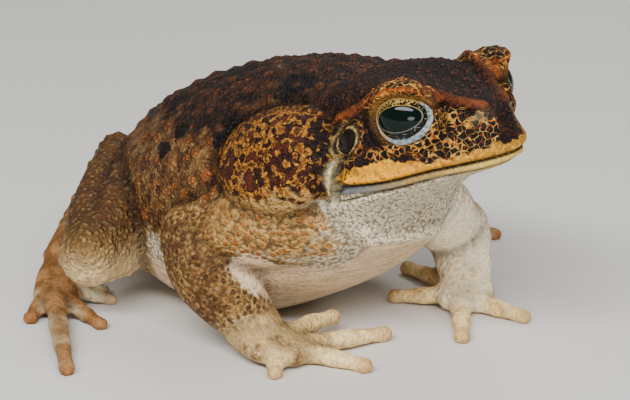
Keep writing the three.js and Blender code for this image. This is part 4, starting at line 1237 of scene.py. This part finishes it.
def moistEdge(add, look):
    # the moist bare edge of the eyelids: silver-blue where broad, brown where thin, with a soft shine
    tone = tonesOf(look)
    spots = add("line", add("noise", add("place"), 1000 / look["spotMm"], 2.0), 0.35, 0.65)
    silver = add("blend", spots, tone["dark"], tone["silver"])
    colour = add("blend", add("mask", attribute_name="broad"), tone["brown"], silver)
    return {"Base Color": colour, "Roughness": look["roughness"]}


eyeFinish = material("wet_toad_eye", wetEye, eyeLook)
edgeFinish = material("moist_lid_edge", moistEdge, edgeLook)
for name, s in both:
    centre = inHead(head["eye"][0], s * head["eye"][1], head["eye"][2])
    turn = np.stack([-headAhead, s * headLeft, headUp])          # rows: back, outward side, up
    axes = np.stack([eyeLong @ turn, eyeHigh @ turn, look @ turn])
    ballPoints, ballFaces = ovalShape(centre, np.full(3, head["eyeRadius"]), axes, 72, 112)
    ball = meshObject(f"{name}_eyeball", ballPoints, outward(ballPoints, ballFaces))
    local = (ballPoints - centre) @ axes.T / head["eyeRadius"]
    storeValues(ball.data, "long", local[:, 0])
    storeValues(ball.data, "high", local[:, 1])
    # the lid edge: a flat roll, an oval section carried round the opening, from the ball out to the lid
    angle = np.linspace(0, 2 * np.pi, lidEdge["around"], endpoint=False)
    radius, width = openingAt(angle)
    ballOut = np.sqrt(head["eyeRadius"] ** 2 - radius ** 2)
    spoke = np.stack([np.cos(angle), np.sin(angle)], 1)
    inner = np.c_[spoke * radius[:, None], ballOut + 0.08] @ axes
    outer = np.c_[spoke * (radius + width + 0.15)[:, None], ballOut - 0.6 * width] @ axes
    middle, across = (inner + outer) / 2, (outer - inner) / 2
    c = np.linspace(0, 2 * np.pi, lidEdge["section"], endpoint=False)
    thick = unit(middle)[:, None] * (lidEdge["thick"] * np.sin(c))[None, :, None]
    tube = centre + middle[:, None] + thick + across[:, None] * np.cos(c)[None, :, None]
    n, m = tube.shape[:2]
    i, j = (g.ravel() for g in np.meshgrid(np.arange(n), np.arange(m), indexing="ij"))
    after, beside = (i + 1) % n * m, (j + 1) % m
    tubeFaces = np.vstack([np.stack([i * m + j, after + j, after + beside], 1),
                           np.stack([i * m + j, after + beside, i * m + beside], 1)])
    tube = tube.reshape(-1, 3)
    edge = meshObject(f"{name}_lid_edge", tube, outward(tube - centre, tubeFaces))
    storeValues(edge.data, "broad", np.repeat(smooth(0.35, 0.8, width), m))
    for piece, finish in ((ball, eyeFinish), (edge, edgeFinish)):
        piece.data.polygons.foreach_set("use_smooth", np.ones(len(piece.data.polygons), bool))
        piece.data.materials.append(finish)
        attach(piece, "root")
    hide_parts(f"{name}_eye")
print("eyes made")

# floor and light
studio = {
    "floor": "d8d6d2", "roughness": 0.9, "world": "e4e3e0", "worldStrength": 0.27, "aim": (0, 0, 0.03),
    "lamps": {                # azimuth, elevation, distance, (width, height) and power of each
        "key": (32, 44, 0.9, (1.2, 0.2), 13.5),
        "front": (62, 8, 1.1, (0.5, 0.25), 3.5),
        "fill": (120, 40, 1.0, (0.5, 0.5), 1.5),
        "back": (215, 50, 0.9, (0.5, 0.3), 2.5),
    },
}
floorMesh = bpy.data.meshes.new("floor")
floorMesh.from_pydata([(-3, -3, 0), (3, -3, 0), (3, 3, 0), (-3, 3, 0)], [], [(0, 1, 2, 3)])
floor = bpy.data.objects.new("floor", floorMesh)
bpy.context.collection.objects.link(floor)


def mattPaper(add, look):
    # matt studio paper: one even tone without shine
    return {"Base Color": hexLinear(look["floor"]), "Roughness": look["roughness"]}


floorMesh.materials.append(material("matt_studio_paper", mattPaper, studio))


def lamp(name, azimuth, elevation, distance, size, power):
    # a soft oval light that faces the toad
    data = bpy.data.lights.new(name, "AREA")
    data.shape = "ELLIPSE"
    (data.size, data.size_y), data.energy = size, power
    made = bpy.data.objects.new(name, data)
    away = backward(azimuth, elevation)
    made.rotation_mode = "QUATERNION"
    made.location = Vector(studio["aim"]) + away * distance
    made.rotation_quaternion = away.to_track_quat("Z", "Y")
    bpy.context.collection.objects.link(made)


for name, setup in studio["lamps"].items():
    lamp(name, *setup)
world = bpy.data.worlds.new("studio")
world.use_nodes = True
world.node_tree.nodes["Background"].inputs[0].default_value = hexLinear(studio["world"])
world.node_tree.nodes["Background"].inputs[1].default_value = studio["worldStrength"]
bpy.context.scene.world = world
print("stage lit")
